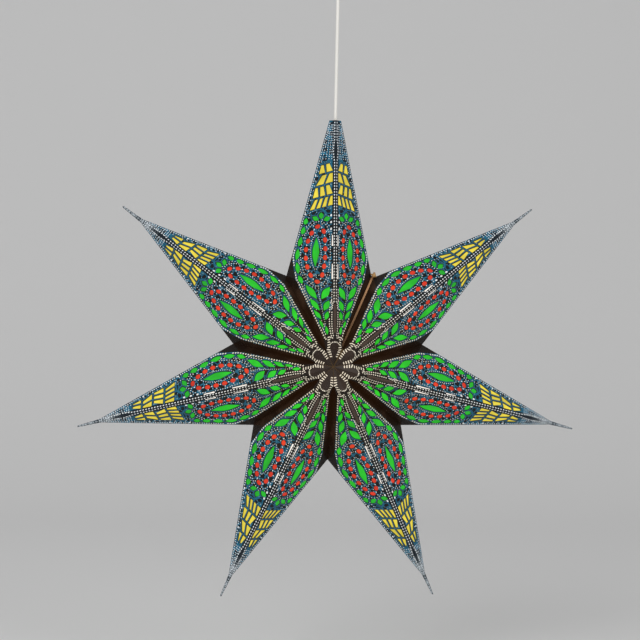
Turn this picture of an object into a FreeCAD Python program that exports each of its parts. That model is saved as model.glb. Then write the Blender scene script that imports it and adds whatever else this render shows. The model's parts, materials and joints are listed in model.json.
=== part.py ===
import FreeCAD, Part
import math
import os

from FreeCAD import Matrix, Placement, Vector

# A hanging paper star lantern: seven folded card arms glued side by side, with cut-out
# windows backed by coloured tissue, a lamp inside and a cord up to a ceiling cup.
# Millimetres. Origin on the ceiling at the cord's axis, +Z up, the front of the star to -Y.

SIZES = {
    # star
    "tip_radius": 300.0,          # centre to the point of an arm
    "cut_back": 17.2,             # cut off the arm that hangs on the cord
    "cut_height": 9.2,            # ridge above the middle plane at that open end
    "crest_radius": 30.0,         # where the ridge turns down to the hub
    "crest_height": 90.0,         # highest point of the ridge above the middle plane
    "hub_height": 77.0,           # where the seven tongues meet
    "hub_gap": 0.8,               # tongue ends stop this far from the axis
    "notch_radius": 113.0,        # centre to the notch between two arms
    "needle_length": 28.0,        # pinched end of an arm
    "needle_root_height": 3.1,
    "needle_end_height": 1.2,
    "border_inner": 31.5,         # inner end of the printed border, along the arm
    "border_short": 15.6,         # outer end of the printed border to the notch
    "border_margin": 7.0,         # printed border's outer end to the glued wall, square to it
    "border_near": 4.2,           # and its inner end to the wall
    "border_run": 10.0,           # beyond the notch, where the border joins the side crease
    "tongue_half": 8.9,           # half width of the strip that runs in to the hub
    "valley_height": 58.0,        # inner end of the valley line above the middle plane
    "cavity_radius": 54.0,        # lamp space cut out of the glued walls
    "paper": 0.4,
    "tissue": 0.1,
    "glue_margin": 1.4,           # tissue edge to the fold beside it
    # how far each arm hangs from its even place round the star, in degrees
    "lean_1": -0.6, "lean_2": -0.6, "lean_3": -1.2, "lean_4": -0.1,
    "lean_5": 2.15, "lean_6": 2.3, "lean_7": 2.3,
    # pattern of windows
    "bead_long": 3.1, "bead_wide": 2.3,
    "ring_share": 0.229,          # half width of the ring of beads in half panel widths
    "ring_band": 3.3,             # bead centre line to the outer edge of the red tissue
    "ring_inner_band": 4.6,       # and to its inner edge
    "ring_bow": 3.1,              # the ring leans this far out from the ridge half way up
    "tissue_gap": 0.3,            # between neighbouring pieces of tissue
    "bar_near": 2.4, "bar_far": 4.2, "bar_taper": 0.3,
    "cell_near": 3.3,             # ridge to the first cell
    "cell_rim": 3.9,              # last cell to the side crease
    "cell_bar": 0.9,              # half the bar between two cells at their low end
    "cell_bar_high": 1.3,         # and at their high end
    "cell_full": 6.0,             # narrower cells have narrower bars
    "garland_low": 4.0, "garland_high": 4.3, "garland_width": 5.0, "garland_bend": -0.5,
    "petal_start": 2.8, "petal_end": 10.9, "petal_width": 5.4,
    "leaf_width": 7.6,            # the leaf inside the ring
    "slip_margin": 0.9,           # bar to the edge of the white slip
    # closing boards and tie between arm 1 and arm 2
    "board": 1.1,
    "board_proud": 2.6,
    "ear_radius": 4.0,
    "ear_out": 2.4,               # ear centre beyond the notch
    "tie_hole_slack": 0.35,
    "tie_radius": 0.75,
    "tie_loop_radius": 3.4,
    "knot_radius": 2.5,
    # cord, its stop and the ceiling fitting
    "cord_radius": 1.9,
    "cord_show": 156.0,           # cord between the star and the ceiling fitting
    "cord_slack": 0.1,            # clearance round the cord in its holes
    "stop_back": 10.8, "stop_length": 22.0,
    "stop_slack": 0.1,
    "cup_radius": 36.0, "cup_neck_radius": 14.0, "cup_height": 30.0, "cup_wall": 2.0,
    "cup_straight": 16.0,         # straight side at the top of the cup
    "grip_radius": 8.0, "grip_height": 12.0, "grip_lip": 2.0, "grip_barrel_radius": 5.0,
    "grip_nut_radius": 7.0, "grip_nut_height": 4.0,
    "strap_room": 5.0, "strap_width": 14.0, "strap_thick": 1.5, "strap_drop": 12.0,
    "strap_hole_radius": 2.25, "strap_hole_spacing": 40.0,
    "block_side": 16.0, "block_height": 12.0,
    "screw_radius": 1.75, "screw_head_radius": 3.4, "screw_head_height": 2.0,
    "screw_drop": 8.0,
    # lamp; heights are above the centre of the star
    "globe_radius": 30.0, "globe_centre": 6.0,
    "neck_low": 26.0, "neck_high": 57.0, "lamp_cap_radius": 13.1,
    "lamp_cap_top": 79.0, "lamp_tip": 2.0, "contact_height": 2.0, "contact_radius": 4.0,
    "shell_low": 58.0, "shell_slack": 0.2, "shell_wall": 0.5,
    "holder_room": 1.7,           # screw shell to the sleeve round it
    "holder_wall": 2.0, "sleeve_low": 54.0,
    "core_height": 9.0, "core_slack": 0.2,
    "core_seat": 2.0,             # the core stands this far into the cap
    "cap_straight": 8.0, "cap_cone": 13.0, "cap_neck_radius": 6.5,
    "cap_ledge": 3.0, "cap_lip": 2.0,
}

doc = FreeCAD.newDocument("PaperStarLantern")
sheet = doc.addObject("Spreadsheet::Sheet", "Sizes")
for row, (alias, value) in enumerate(SIZES.items(), start=1):
    sheet.set(f"A{row}", alias)
    sheet.set(f"B{row}", str(value))
    sheet.setAlias(f"B{row}", alias)
doc.recompute()

ARMS = range(1, 8)
SEAM = (1, 2)                     # the two arms whose facing walls are tied, not glued
BEADS = 14
subparts = []


def size(alias):
    """A driving size, read from the sheet."""
    return sheet.get(alias)


def keep(obj, node):
    """Give a finished sub-part its node name."""
    obj.Label = node
    subparts.append(obj)
    return obj


def keep_shape(shape, node, placement=None):
    """A sub-part whose shape is set directly, placed afterwards."""
    obj = doc.addObject("Part::Feature", node)
    obj.Shape = shape
    obj.Placement = placement or Placement()
    return keep(obj, node)


# ---------------------------------------------------------------- places in the lantern

def arm_angle(arm):
    """Direction of an arm in degrees from +X towards +Z; arm 1 points up, then clockwise."""
    return 90.0 - (arm - 1) * 360.0 / len(ARMS) + size(f"lean_{arm}")


def half_angle(arm, side):
    """Half the angle from an arm to its neighbour; side +1 is anticlockwise, -1 clockwise."""
    neighbour = (arm - 1 - side) % len(ARMS) + 1
    return math.radians((side * (arm_angle(neighbour) - arm_angle(arm)) % 360.0) / 2)


def stand_off(arm, side):
    """Room for the closing board where two walls are tied instead of glued."""
    return size("board") if (arm, side) in ((SEAM[0], -1), (SEAM[1], 1)) else 0.0


def star_centre():
    """The cord hangs plumb through the open end of arm 1, so the star sits beside its line."""
    angle = math.radians(arm_angle(1))
    reach = size("tip_radius") - size("cut_back")
    tip_x = reach * math.cos(angle)
    tip_z = -size("cup_height") - size("grip_height") - size("cord_show")
    return Vector(-tip_x, 0, tip_z - reach * math.sin(angle))


def border_outer():
    """Outer end of the printed border, along the arm."""
    return size("notch_radius") - size("border_short")


def border_start():
    """Where the printed border joins the side crease, along the arm."""
    return size("notch_radius") + size("border_run")


def turned(angle):
    """Local X along a direction in the star's plane, local Z to the front."""
    c, s = math.cos(angle), math.sin(angle)
    at = star_centre()
    return Placement(Matrix(c, -s, 0, at.x,  0, 0, -1, at.y,  s, c, 0, at.z,  0, 0, 0, 1))


# ---------------------------------------------------------------- planes and faces

def plane_of(a, b, c, inside):
    """Plane through three points as (unit normal pointing away from inside, distance)."""
    normal = (b - a).cross(c - a).normalize()
    if normal.dot(inside - a) > 0:
        normal = normal * -1
    return normal, normal.dot(a)


def meet(planes, depth):
    """The point where three planes meet after each has moved inwards by depth."""
    (n1, d1), (n2, d2), (n3, d3) = [(n, d - depth) for n, d in planes]
    total = n2.cross(n3) * d1 + n3.cross(n1) * d2 + n1.cross(n2) * d3
    return total * (1.0 / n1.dot(n2.cross(n3)))


def flip(point, side, front):
    """Mirror a point of the left front quarter into another quarter of the arm."""
    return Vector(point.x, point.y * side, point.z * front)


def facet(points):
    """Faces of a polygon: one if it is flat, else a fan of triangles."""
    normal = (points[1] - points[0]).cross(points[2] - points[0]).normalize()
    flat = all(abs(normal.dot(point - points[0])) < 1e-7 for point in points)
    if flat:
        return [Part.Face(Part.makePolygon(points + points[:1]))]
    fans = zip(points[1:], points[2:])
    return [Part.Face(Part.makePolygon([points[0], b, c, points[0]])) for b, c in fans]


def closed_solid(faces):
    """Sew faces that share their edges into one solid."""
    skin = Part.makeCompound(faces)
    skin.sewShape(1e-5)
    solid = Part.makeSolid(skin.Shells[0])
    if solid.Volume < 0:
        solid.reverse()
    return solid


# ---------------------------------------------------------------- one half of an arm

class HalfArm:
    """The left half of an arm: outline, planes and corners for y and z not negative."""

    def __init__(self, arm, side):
        self.wall_angle = half_angle(arm, side)
        self.off = stand_off(arm, side)
        self.cut = arm == 1
        back = size("cut_back") if self.cut else size("needle_length")
        self.end = size("tip_radius") - back
        self.end_height = size("cut_height") if self.cut else size("needle_root_height")
        self.crest = Vector(size("crest_radius"), 0, size("crest_height"))
        self.fall = (self.crest.z - self.end_height) / (self.end - self.crest.x)
        self.notch = self.on_wall(size("notch_radius"), 0)
        self.slope = self.ridge(self.notch.x) / self.notch.y
        self.corners = self.outer_corners()
        self.planes = self.facet_planes()

    def on_wall(self, radius, height):
        """A point of the glued wall's outer face."""
        c, s = math.cos(self.wall_angle), math.sin(self.wall_angle)
        return Vector(radius * c + self.off * s, radius * s - self.off * c, height)

    def ridge(self, along):
        """Height of the ridge."""
        return self.crest.z - self.fall * (along - self.crest.x)

    def on_panel(self, along, across):
        """A point of the panel's outer face above a place in the front view."""
        return Vector(along, across, self.ridge(along) - self.slope * across)

    def border(self, along):
        """Where the printed border runs beside the wall, in the front view."""
        c, s = math.cos(self.wall_angle), math.sin(self.wall_angle)
        outer, inner = border_outer(), size("border_inner")
        near, far = size("border_near"), size("border_margin")
        margin = far + (near - far) * (outer - along) / (outer - inner)
        return (s * along - self.off - margin) / c

    def edge(self, along):
        """Half width of the printed panel in the front view."""
        side_crease = self.ridge(along) / self.slope
        start, outer = border_start(), border_outer()
        if along >= start:
            return side_crease
        if along <= outer:
            return max(self.border(along), size("tongue_half"))
        share = (along - outer) / (start - outer)
        start_width = self.ridge(start) / self.slope
        return self.border(outer) + (start_width - self.border(outer)) * share ** 0.8

    def outer_corners(self):
        """Named corners of the paper's outer face."""
        c, s = math.cos(self.wall_angle), math.sin(self.wall_angle)
        inner_radius = (size("tongue_half") + self.off * c) / s
        tongue = self.on_wall(inner_radius, 0)
        outer, inner = border_outer(), size("border_inner")
        needle_end = Vector(size("tip_radius"), 0, size("needle_end_height"))
        corners = {
            "crest": self.crest,
            "hub": Vector(size("hub_gap"), 0, size("hub_height")),
            "root": Vector(self.end, 0, self.end_height),
            "root_side": Vector(self.end, self.end_height / self.slope, 0),
            "notch": self.notch,
            "border_outer": self.on_panel(outer, self.border(outer)),
            "border_inner": self.on_panel(inner, self.border(inner)),
            "tongue": self.on_panel(tongue.x, tongue.y),
            "valley": self.on_wall(inner_radius, size("valley_height")),
        }
        if not self.cut:
            corners["end"] = needle_end
            corners["end_side"] = Vector(needle_end.x, needle_end.z / self.slope, 0)
        return corners

    def facet_planes(self):
        """Planes of the facets that meet at the corners."""
        at = self.corners
        inside = Vector(size("notch_radius"), 0, 0)
        planes = {
            "panel": plane_of(at["crest"], at["root"], at["notch"], inside),
            "tongue": plane_of(at["crest"], at["tongue"], at["hub"], inside),
            "cheek": plane_of(at["border_inner"], at["tongue"], at["valley"], inside),
            "steep": plane_of(at["border_outer"], at["border_inner"], at["valley"], inside),
            "low": plane_of(at["border_inner"], at["valley"], at["notch"], inside),
            "wall": plane_of(at["notch"], at["valley"], at["notch"] - Vector(0, 0, 9), inside),
            "root": (Vector(1, 0, 0), self.end),
            "hub": (Vector(-1, 0, 0), -size("hub_gap")),
        }
        if not self.cut:
            planes["needle"] = plane_of(at["root"], at["end"], at["end_side"], inside)
            planes["end"] = (Vector(1, 0, 0), size("tip_radius"))
        return planes

    def inset(self, names, depth):
        """A corner of the offset skin, where the named planes meet."""
        return meet([self.planes[name] for name in names], depth)


def mirror_plane(plane, side, front):
    """A half arm's plane mirrored into another quarter."""
    normal, distance = plane
    return flip(normal, side, front), distance


class Arm:
    """A whole arm: two half arms, mirrored front to back."""

    def __init__(self, number):
        self.number = number
        self.cut = number == 1
        self.halves = {side: HalfArm(number, side) for side in (1, -1)}

    def ridge_corner(self, facet_name, third, depth):
        """A corner on the ridge of the offset skin."""
        left, right = self.halves[1], self.halves[-1]
        planes = [left.planes[facet_name], mirror_plane(right.planes[facet_name], -1, 1), third]
        return meet(planes, depth)

    def side_corner(self, half, facet_name, third, depth):
        """A corner on the side crease of the offset skin."""
        plane = half.planes[facet_name]
        return meet([plane, mirror_plane(plane, 1, -1), third], depth)

    def skin_corners(self, depth):
        """Corners of the skin that lies depth under the outer face, by side."""
        left = self.halves[1]
        station = (Vector(1, 0, 0), left.end + depth)
        shared = {
            "crest": self.ridge_corner("panel", left.planes["tongue"], depth),
            "hub": self.ridge_corner("tongue", (Vector(-1, 0, 0), depth - size("hub_gap")), depth),
            "root": self.ridge_corner("panel", station, depth),
        }
        if not self.cut:
            shared["end"] = self.ridge_corner("needle", left.planes["end"], depth)
        corners = {}
        for side, half in self.halves.items():
            at = {name: flip(point, side, 1) for name, point in shared.items()}
            at["root_side"] = self.side_corner(half, "panel", station, depth)
            at["notch"] = self.side_corner(half, "panel", half.planes["wall"], depth)
            normal = half.planes["panel"][0]
            at["border_outer"] = half.corners["border_outer"] - normal * depth
            at["border_inner"] = half.inset(["panel", "steep", "cheek"], depth)
            at["tongue"] = half.inset(["panel", "tongue", "cheek"], depth)
            at["valley"] = half.inset(["wall", "low", "cheek"], depth)
            if not self.cut:
                at["end_side"] = self.side_corner(half, "needle", half.planes["end"], depth)
            at.update(self.wall_corners(half, depth))
            corners[side] = at
        return corners

    def wall_corners(self, half, depth):
        """Free edge of the glued wall: the end of its strip and where the lamp space starts."""
        c, s = math.cos(half.wall_angle), math.sin(half.wall_angle)
        valley_radius = half.corners["valley"].x * c + half.corners["valley"].y * s
        rise = Vector(size("notch_radius") - valley_radius, 0, -size("valley_height"))
        rise.normalize()
        inward = Vector(rise.z, 0, -rise.x)
        reach = -inward.x * size("notch_radius")
        touch = inward * -size("cavity_radius")
        end = Vector(valley_radius, 0, size("valley_height")) + inward * (reach - size("cavity_radius"))
        sink = half.planes["wall"][0] * depth
        return {
            "strip_end": half.on_wall(end.x, end.z) - sink,
            "cavity": half.on_wall(touch.x, touch.z) - sink,
            "cavity_mid": half.on_wall(size("cavity_radius"), 0) - sink,
        }


# ---------------------------------------------------------------- the pattern of windows

# Stations along an arm: -1 is the inner end of the printed border, 0 the notch, 1 the tip.
RING = (-0.2153, 0.2487)
RING_AXIS = (0.459, 0.451)        # the ring's ends, in half panel widths
RING_LEAF = (-0.0208, 0.1791)
FAN = (0.2754, 0.42)              # root of the fan: station, half panel widths
FAN_TURNS = (-60.0, 0.0, 60.0)
CELLS = (0.338, 0.6604)           # the tissue behind the cells
CELL_ROWS = ((0.3743, 0.4305, 4), (0.4446, 0.5027, 3), (0.5168, 0.5722, 2), (0.5863, 0.6364, 2))
CELL_SLANT = 0.3
CELL_LEAN = 0.36                  # how far a cell leans, in cells; the rows lean by turns
CELL_UPRIGHT = 8.0                # distance from the ridge at which a row stands on its station
SLIP = (-0.1944, 0.2086)          # the tissue behind the bars
BARS = ((-0.1667, 0.0187), (0.1283, 0.1952))
GARLAND = ((-0.125, 0.0214), (0.0289, 0.107), (0.1144, 0.1818), (0.1893, 0.2433),
           (0.2513, 0.2968))
GARLAND_FOOT = (-0.2569, -0.1389)
# low and high end: station, half panel widths; then the leaf's width
FROND = (
    (-0.4583, 0.45, -0.2778, 0.15, 7.4), (-0.4583, 0.59, -0.2653, 0.79, 7.0),
    (-0.6142, 0.45, -0.4653, 0.20, 6.2), (-0.6142, 0.61, -0.4583, 0.83, 5.8),
    (-0.7431, 0.48, -0.6142, 0.28, 4.8), (-0.7431, 0.66, -0.6042, 0.85, 4.6),
    (-0.8542, 0.71, -0.7431, 0.77, 3.2), (-0.9444, 0.58, -0.8194, 0.52, 3.6),
)


def station(share):
    """Distance along an arm of a station of the pattern."""
    notch = size("notch_radius")
    reach = notch - size("border_inner") if share < 0 else size("tip_radius") - notch
    return notch + share * reach


def stations(shares):
    """The same for several."""
    return tuple(station(share) for share in shares)


def leaf(tail, tip, width, bend=0.0):
    """A leaf with two pointed ends, as two smooth curves; bend bows it to its left."""
    along = (tip[0] - tail[0], tip[1] - tail[1])
    length = math.hypot(*along)
    left = (-along[1] / length, along[0] / length)

    def side_curve(sign):
        points = []
        for share in (0.0, 0.22, 0.5, 0.78, 1.0):
            out = (sign * width / 2 + bend) * math.sin(math.pi * share)
            points.append((tail[0] + along[0] * share + left[0] * out,
                           tail[1] + along[1] * share + left[1] * out))
        return points

    return [side_curve(1), side_curve(-1)[::-1]]


def oval(centre, heading, long_half, wide_half):
    """A closed smooth oval turned to a heading."""
    c, s = math.cos(heading), math.sin(heading)
    points = []
    for step in range(8):
        turn = math.pi * step / 4
        u, v = long_half * math.cos(turn), wide_half * math.sin(turn)
        points.append((centre[0] + u * c - v * s, centre[1] + u * s + v * c))
    return [points + points[:1]]


def cell(corners):
    """A straight-sided window."""
    return [list(pair) for pair in zip(corners, corners[1:] + corners[:1])]


def spread(points, count):
    """Places evenly spaced round a closed line of points, with their headings."""
    steps = list(zip(points, points[1:] + points[:1]))
    lengths = [math.dist(a, b) for a, b in steps]
    places = []
    for index in range(count):
        want = sum(lengths) * index / count
        for (a, b), length in zip(steps, lengths):
            if want <= length:
                share = want / length
                place = (a[0] + (b[0] - a[0]) * share, a[1] + (b[1] - a[1]) * share)
                places.append((place, math.atan2(b[1] - a[1], b[0] - a[0])))
                break
            want -= length
    return places


def ring_ends(half):
    """How far from the ridge the ring's two ends lie."""
    return tuple(share * half.edge(along) for share, along in zip(RING_AXIS, stations(RING)))


def ring_line(half, shrink=0.0, steps=48):
    """The line of the beads: an oval drawn in a little towards both ends."""
    bottom, top = stations(RING)
    low, high = ring_ends(half)
    middle, reach = (bottom + top) / 2, (top - bottom) / 2 - shrink
    lean = (high - low) / (top - bottom)
    half_width = size("ring_share") * half.edge(middle) - shrink
    points = []
    for step in range(steps):
        turn = 2 * math.pi * step / steps
        along = middle - reach * math.cos(turn)
        axis = low + lean * (along - bottom) + size("ring_bow") * math.sin(turn) ** 2
        out = half_width * math.sin(turn) * (1 - 0.12 * math.cos(turn) ** 2)
        points.append((along, axis + out))
    return points


def grown(points, margin):
    """A closed line moved outwards by a margin; the line runs so that out is on its left."""
    moved = []
    for index, (x, y) in enumerate(points):
        before, after = points[index - 1], points[(index + 1) % len(points)]
        run = (after[0] - before[0], after[1] - before[1])
        length = math.hypot(*run)
        moved.append((x - run[1] / length * margin, y + run[0] / length * margin))
    return moved


def yellow_windows(half):
    """Rows of cells that lean to and fro by turns, like leaded glass."""
    windows = []
    near, rim = size("cell_near"), size("cell_rim")
    bar, high_bar = size("cell_bar"), size("cell_bar_high")
    for row, (row_low, row_high, count) in enumerate(CELL_ROWS):
        low, high = stations((row_low, row_high))
        lean = CELL_LEAN if row % 2 else -CELL_LEAN
        for index in range(count):
            corners = []
            picks = ((low, index, bar), (high, index + lean, high_bar),
                     (high, index + 1 + lean, -high_bar), (low, index + 1, -bar))
            for along, column, gap in picks:
                column = min(max(column, 0), count)
                width = (half.edge(along) - rim - near) / count
                across = near + width * column
                if 0 < column < count:
                    across += gap * min(1.0, width / size("cell_full"))
                corners.append((along + CELL_SLANT * (CELL_UPRIGHT - across), across))
            windows.append(cell(corners))
    return windows


def red_windows(half):
    """Beads round the ring."""
    line = ring_line(half)
    sizes = (size("bead_long"), size("bead_wide"))
    return [oval(place, heading, *sizes) for place, heading in spread(line, BEADS)]


def white_windows(half):
    """Two slim bars beside the ridge."""
    near, far, taper = size("bar_near"), size("bar_far"), size("bar_taper")
    return [cell([(low, near), (high, near + taper), (high, far - taper), (low, far)])
            for low, high in map(stations, BARS)]


def green_windows(half):
    """A leaf inside the ring, a fan above it, a garland down the side and a frond below."""
    windows = [ring_leaf(half)]
    fan_along = station(FAN[0])
    fan_across = FAN[1] * half.edge(fan_along)
    start, end = size("petal_start"), size("petal_end")
    for turn in FAN_TURNS:
        c, s = math.cos(math.radians(turn)), math.sin(math.radians(turn))
        windows.append(leaf((fan_along + start * c, fan_across + start * s),
                            (fan_along + end * c, fan_across + end * s), size("petal_width")))
    near, far, width = size("garland_low"), size("garland_high"), size("garland_width")
    for low, high in map(stations, GARLAND):
        windows.append(leaf((low, half.edge(low) - near), (high, half.edge(high) - far),
                            width, size("garland_bend")))
    low, high = stations(GARLAND_FOOT)
    windows.append(leaf((low, half.edge(low) - near - 1.4), (high, half.edge(high) - near), width))
    for low, low_share, high, high_share, width in FROND:
        low, high = stations((low, high))
        windows.append(leaf((low, low_share * half.edge(low)),
                            (high, high_share * half.edge(high)), width))
    return windows


def ring_leaf(half):
    """The leaf that lies in the middle of the ring."""
    low, high = stations(RING_LEAF)
    axis = sum(ring_ends(half)) / 2 + size("ring_bow") - 0.4
    return leaf((low, axis + 0.6), (high, axis - 0.6), size("leaf_width"))


WINDOWS = (yellow_windows, red_windows, white_windows, green_windows)


def window_edges(outline, to_space):
    """Edges of one window on a panel."""
    edges = []
    for segment in outline:
        points = [to_space(*point) for point in segment]
        if len(points) == 2:
            edges.append(Part.makeLine(*points))
            continue
        curve = Part.BSplineCurve()
        closed = points[0].isEqual(points[-1], 1e-9)
        curve.interpolate(Points=points[:-1] if closed else points, PeriodicFlag=closed)
        edges.append(curve.toShape())
    return edges


# ---------------------------------------------------------------- folded card arms

PANEL = ("root", "root_side", "notch", "border_outer", "border_inner", "tongue", "crest")


def arm_faces(arm):
    """Every face of an arm's folded sheet: outer skin, inner skin, windows and free edges."""
    skins = [arm.skin_corners(0.0), arm.skin_corners(size("paper"))]
    faces = []
    for side, half in arm.halves.items():
        sink = half.planes["panel"][0] * -size("paper")
        outlines = [outline for windows in WINDOWS for outline in windows(half)]
        for front in (1, -1):
            through = flip(sink, side, front)
            holes = [window_edges(outline, lambda a, p: flip(half.on_panel(a, p), side, front))
                     for outline in outlines]
            faces += [edge.extrude(through) for edges in holes for edge in edges]
            for layer, skin in enumerate(skins):
                at = {name: flip(point, side, front) for name, point in skin[side].items()}
                rim = Part.makePolygon([at[name] for name in PANEL + PANEL[:1]])
                wires = [Part.Wire(edges) for edges in holes]
                for wire in wires:
                    wire.translate(through * layer)
                faces.append(Part.makeFace([rim] + wires, "Part::FaceMakerBullseye"))
                faces += folds(at)
            faces += free_edges(arm, skins, side, front)
        faces += glued_wall(skins, side)
    if not arm.cut:
        for skin in skins:
            left, right = skin[1], skin[-1]
            faces += facet([left["end"], left["end_side"], flip(left["end"], 1, -1),
                            flip(right["end_side"], -1, 1)])
    return faces


def folds(at):
    """The facets round a panel in one skin."""
    faces = facet([at["border_inner"], at["tongue"], at["valley"]])
    faces += facet([at["crest"], at["tongue"], at["hub"]])
    faces.append(Part.makeRuledSurface(Part.makeLine(at["border_outer"], at["border_inner"]),
                                       Part.makeLine(at["notch"], at["valley"])))
    if "end" in at:
        faces += facet([at["root"], at["root_side"], at["end_side"], at["end"]])
    return faces


def free_edges(arm, skins, side, front):
    """Paper edges of one quarter, between the outer and the inner skin."""
    names = ["hub", "tongue", "valley", "strip_end", "cavity"]
    rims = list(zip(names, names[1:]))
    if arm.cut:
        rims.append(("root", "root_side"))
    faces = []
    for first, second in rims:
        loop = [skins[0][side][first], skins[0][side][second],
                skins[1][side][second], skins[1][side][first]]
        faces += facet([flip(point, side, front) for point in loop])
    return faces


def glued_wall(skins, side):
    """Both faces of a glued wall and the round edge of the lamp space."""
    faces = []
    for skin in skins:
        top = {name: flip(point, side, 1) for name, point in skin[side].items()}
        low = {name: flip(point, side, -1) for name, point in skin[side].items()}
        arc = Part.Arc(top["cavity"], top["cavity_mid"], low["cavity"]).toShape()
        lines = [top["cavity"], top["strip_end"], top["valley"], top["notch"],
                 low["valley"], low["strip_end"], low["cavity"]]
        edges = [Part.makeLine(*pair) for pair in zip(lines, lines[1:])]
        faces.append(Part.Face(Part.Wire(edges + [arc])))
        if skin is skins[0]:
            sink = skins[1][side]["cavity_mid"] - skins[0][side]["cavity_mid"]
            faces.append(arc.extrude(flip(sink, side, 1)))
    return faces


# ---------------------------------------------------------------- tissue behind the windows

def tissue_patch(half, side, front, outline, holes=()):
    """One flat piece of tissue glued to the inner face of a panel."""
    normal = half.planes["panel"][0]
    sink = flip(normal * -size("paper"), side, front)

    def to_space(along, across):
        return flip(half.on_panel(along, across), side, front) + sink

    wires = [Part.Wire(window_edges(loop, to_space)) for loop in (outline,) + tuple(holes)]
    face = Part.makeFace(wires, "Part::FaceMakerBullseye")
    return face.extrude(flip(normal * -size("tissue"), side, front))


def smooth_loop(points):
    """A closed smooth outline through points."""
    return [points + points[:1]]


def ring_outer(half, margin):
    """The ring's outer edge, as far outside the bead line as the margin."""
    return smooth_loop(grown(ring_line(half, steps=32), margin))


def ring_inner(half, margin):
    """The ring's inner edge."""
    return smooth_loop(ring_line(half, margin, steps=32))


def yellow_patches(half):
    """Behind the fan of cells."""
    margin = size("glue_margin")
    low, high = stations(CELLS)
    return [(cell([(low, margin), (high, margin), (high, half.edge(high) - margin),
                   (low, half.edge(low) - margin)]), [])]


def red_patches(half):
    """A band behind the beads."""
    return [(ring_outer(half, size("ring_band")), [ring_inner(half, size("ring_inner_band"))])]


def white_patches(half):
    """A slip behind the two bars."""
    margin, far = size("glue_margin"), size("bar_far") + size("slip_margin")
    low, high = stations(SLIP)
    return [(cell([(low, margin), (high, margin), (high, far), (low, far)]), [])]


def green_patches(half):
    """A sheet round the ring, and a small one for the leaf inside it."""
    margin, gap, band = size("glue_margin"), size("tissue_gap"), size("ring_band")
    near, far = 1.4 * margin, size("bar_far") + size("slip_margin") + gap
    low, high = size("border_inner") + margin, station(CELLS[0]) - gap
    start, outer = border_start(), border_outer()
    slip_low, slip_high = station(SLIP[0]) - gap, station(SLIP[1]) + gap
    sheet_line = [(low, near), (slip_low, near), (slip_low, far), (slip_high, far),
                  (slip_high, near), (high, near), (high, half.edge(high) - margin),
                  (start, half.edge(start) - margin), (outer, half.edge(outer) - margin),
                  (low, half.edge(low) - margin)]
    return [(cell(sheet_line), [ring_outer(half, band + gap)]),
            (ring_inner(half, size("ring_inner_band") + gap), [])]


TISSUES = {"yellow": yellow_patches, "red": red_patches,
           "white": white_patches, "green": green_patches}


def make_arm(number):
    """One folded sheet and its tissue, in place."""
    arm = Arm(number)
    place = turned(math.radians(arm_angle(number)))
    keep_shape(closed_solid(arm_faces(arm)), f"arm_{number}", place)
    for colour, patches in TISSUES.items():
        solids = [tissue_patch(half, side, front, *patch)
                  for side, half in arm.halves.items() for front in (1, -1)
                  for patch in patches(half)]
        keep_shape(Part.makeCompound(solids), f"{colour}_tissue_{number}", place)
    return arm


# ---------------------------------------------------------------- closing boards and tie

def board_outline(half):
    """Front half of a closing board: it follows the glued wall and stands a little proud."""
    c, s = math.cos(half.wall_angle), math.sin(half.wall_angle)
    valley_radius = half.corners["valley"].x * c + half.corners["valley"].y * s
    notch = Vector(size("notch_radius"), 0, 0)
    valley = Vector(valley_radius, size("valley_height"), 0)
    run = valley - notch
    out = Vector(-run.y, run.x, 0).normalize() * -1
    reach = out.dot(notch)
    touch = out * size("cavity_radius")
    strip_end = notch + run * 0.97 - out * (reach - size("cavity_radius"))
    proud = out * size("board_proud")
    return [notch, notch + run * 0.14 + proud, notch + run * 0.86 + proud,
            notch + run * 0.97, strip_end, touch]


def make_boards(arms):
    """Two stiff boards on the tied walls, meeting face to face on the plane between them."""
    half = arms[SEAM[0]].halves[-1]
    line = board_outline(half)
    back = [Vector(point.x, -point.y, 0) for point in line]
    arc = Part.Arc(line[-1], Vector(size("cavity_radius"), 0, 0), back[-1]).toShape()
    loop = [Part.makeLine(*pair) for pair in zip(line, line[1:])]
    loop += [Part.makeLine(*pair) for pair in zip(back, back[1:])]
    plate = Part.Face(Part.Wire(Part.__sortEdges__(loop + [arc])))
    ear_at = Vector(size("notch_radius") + size("ear_out"), 0, 0)
    hole_radius = size("tie_radius") + size("tie_hole_slack")
    up = Vector(0, 0, 1)
    for index, side in enumerate((-1, 1), start=1):
        thick = up * (side * size("board"))
        board = plate.extrude(thick)
        ear = Part.makeCylinder(size("ear_radius"), size("board"), ear_at, up * side)
        hole = Part.makeCylinder(hole_radius, size("board"), ear_at, up * side)
        shape = board.fuse(ear).cut(hole).removeSplitter()
        keep_shape(shape, f"closing_board_{index}", seam_place())


def seam_place():
    """Local X out along the plane between the tied arms, Y to the front, Z to arm 2."""
    angle = math.radians(arm_angle(SEAM[0])) - half_angle(SEAM[0], -1)
    c, s = math.cos(angle), math.sin(angle)
    at = star_centre()
    return Placement(Matrix(c, 0, s, at.x,  0, -1, 0, at.y,  s, 0, -c, at.z,  0, 0, 0, 1))


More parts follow.
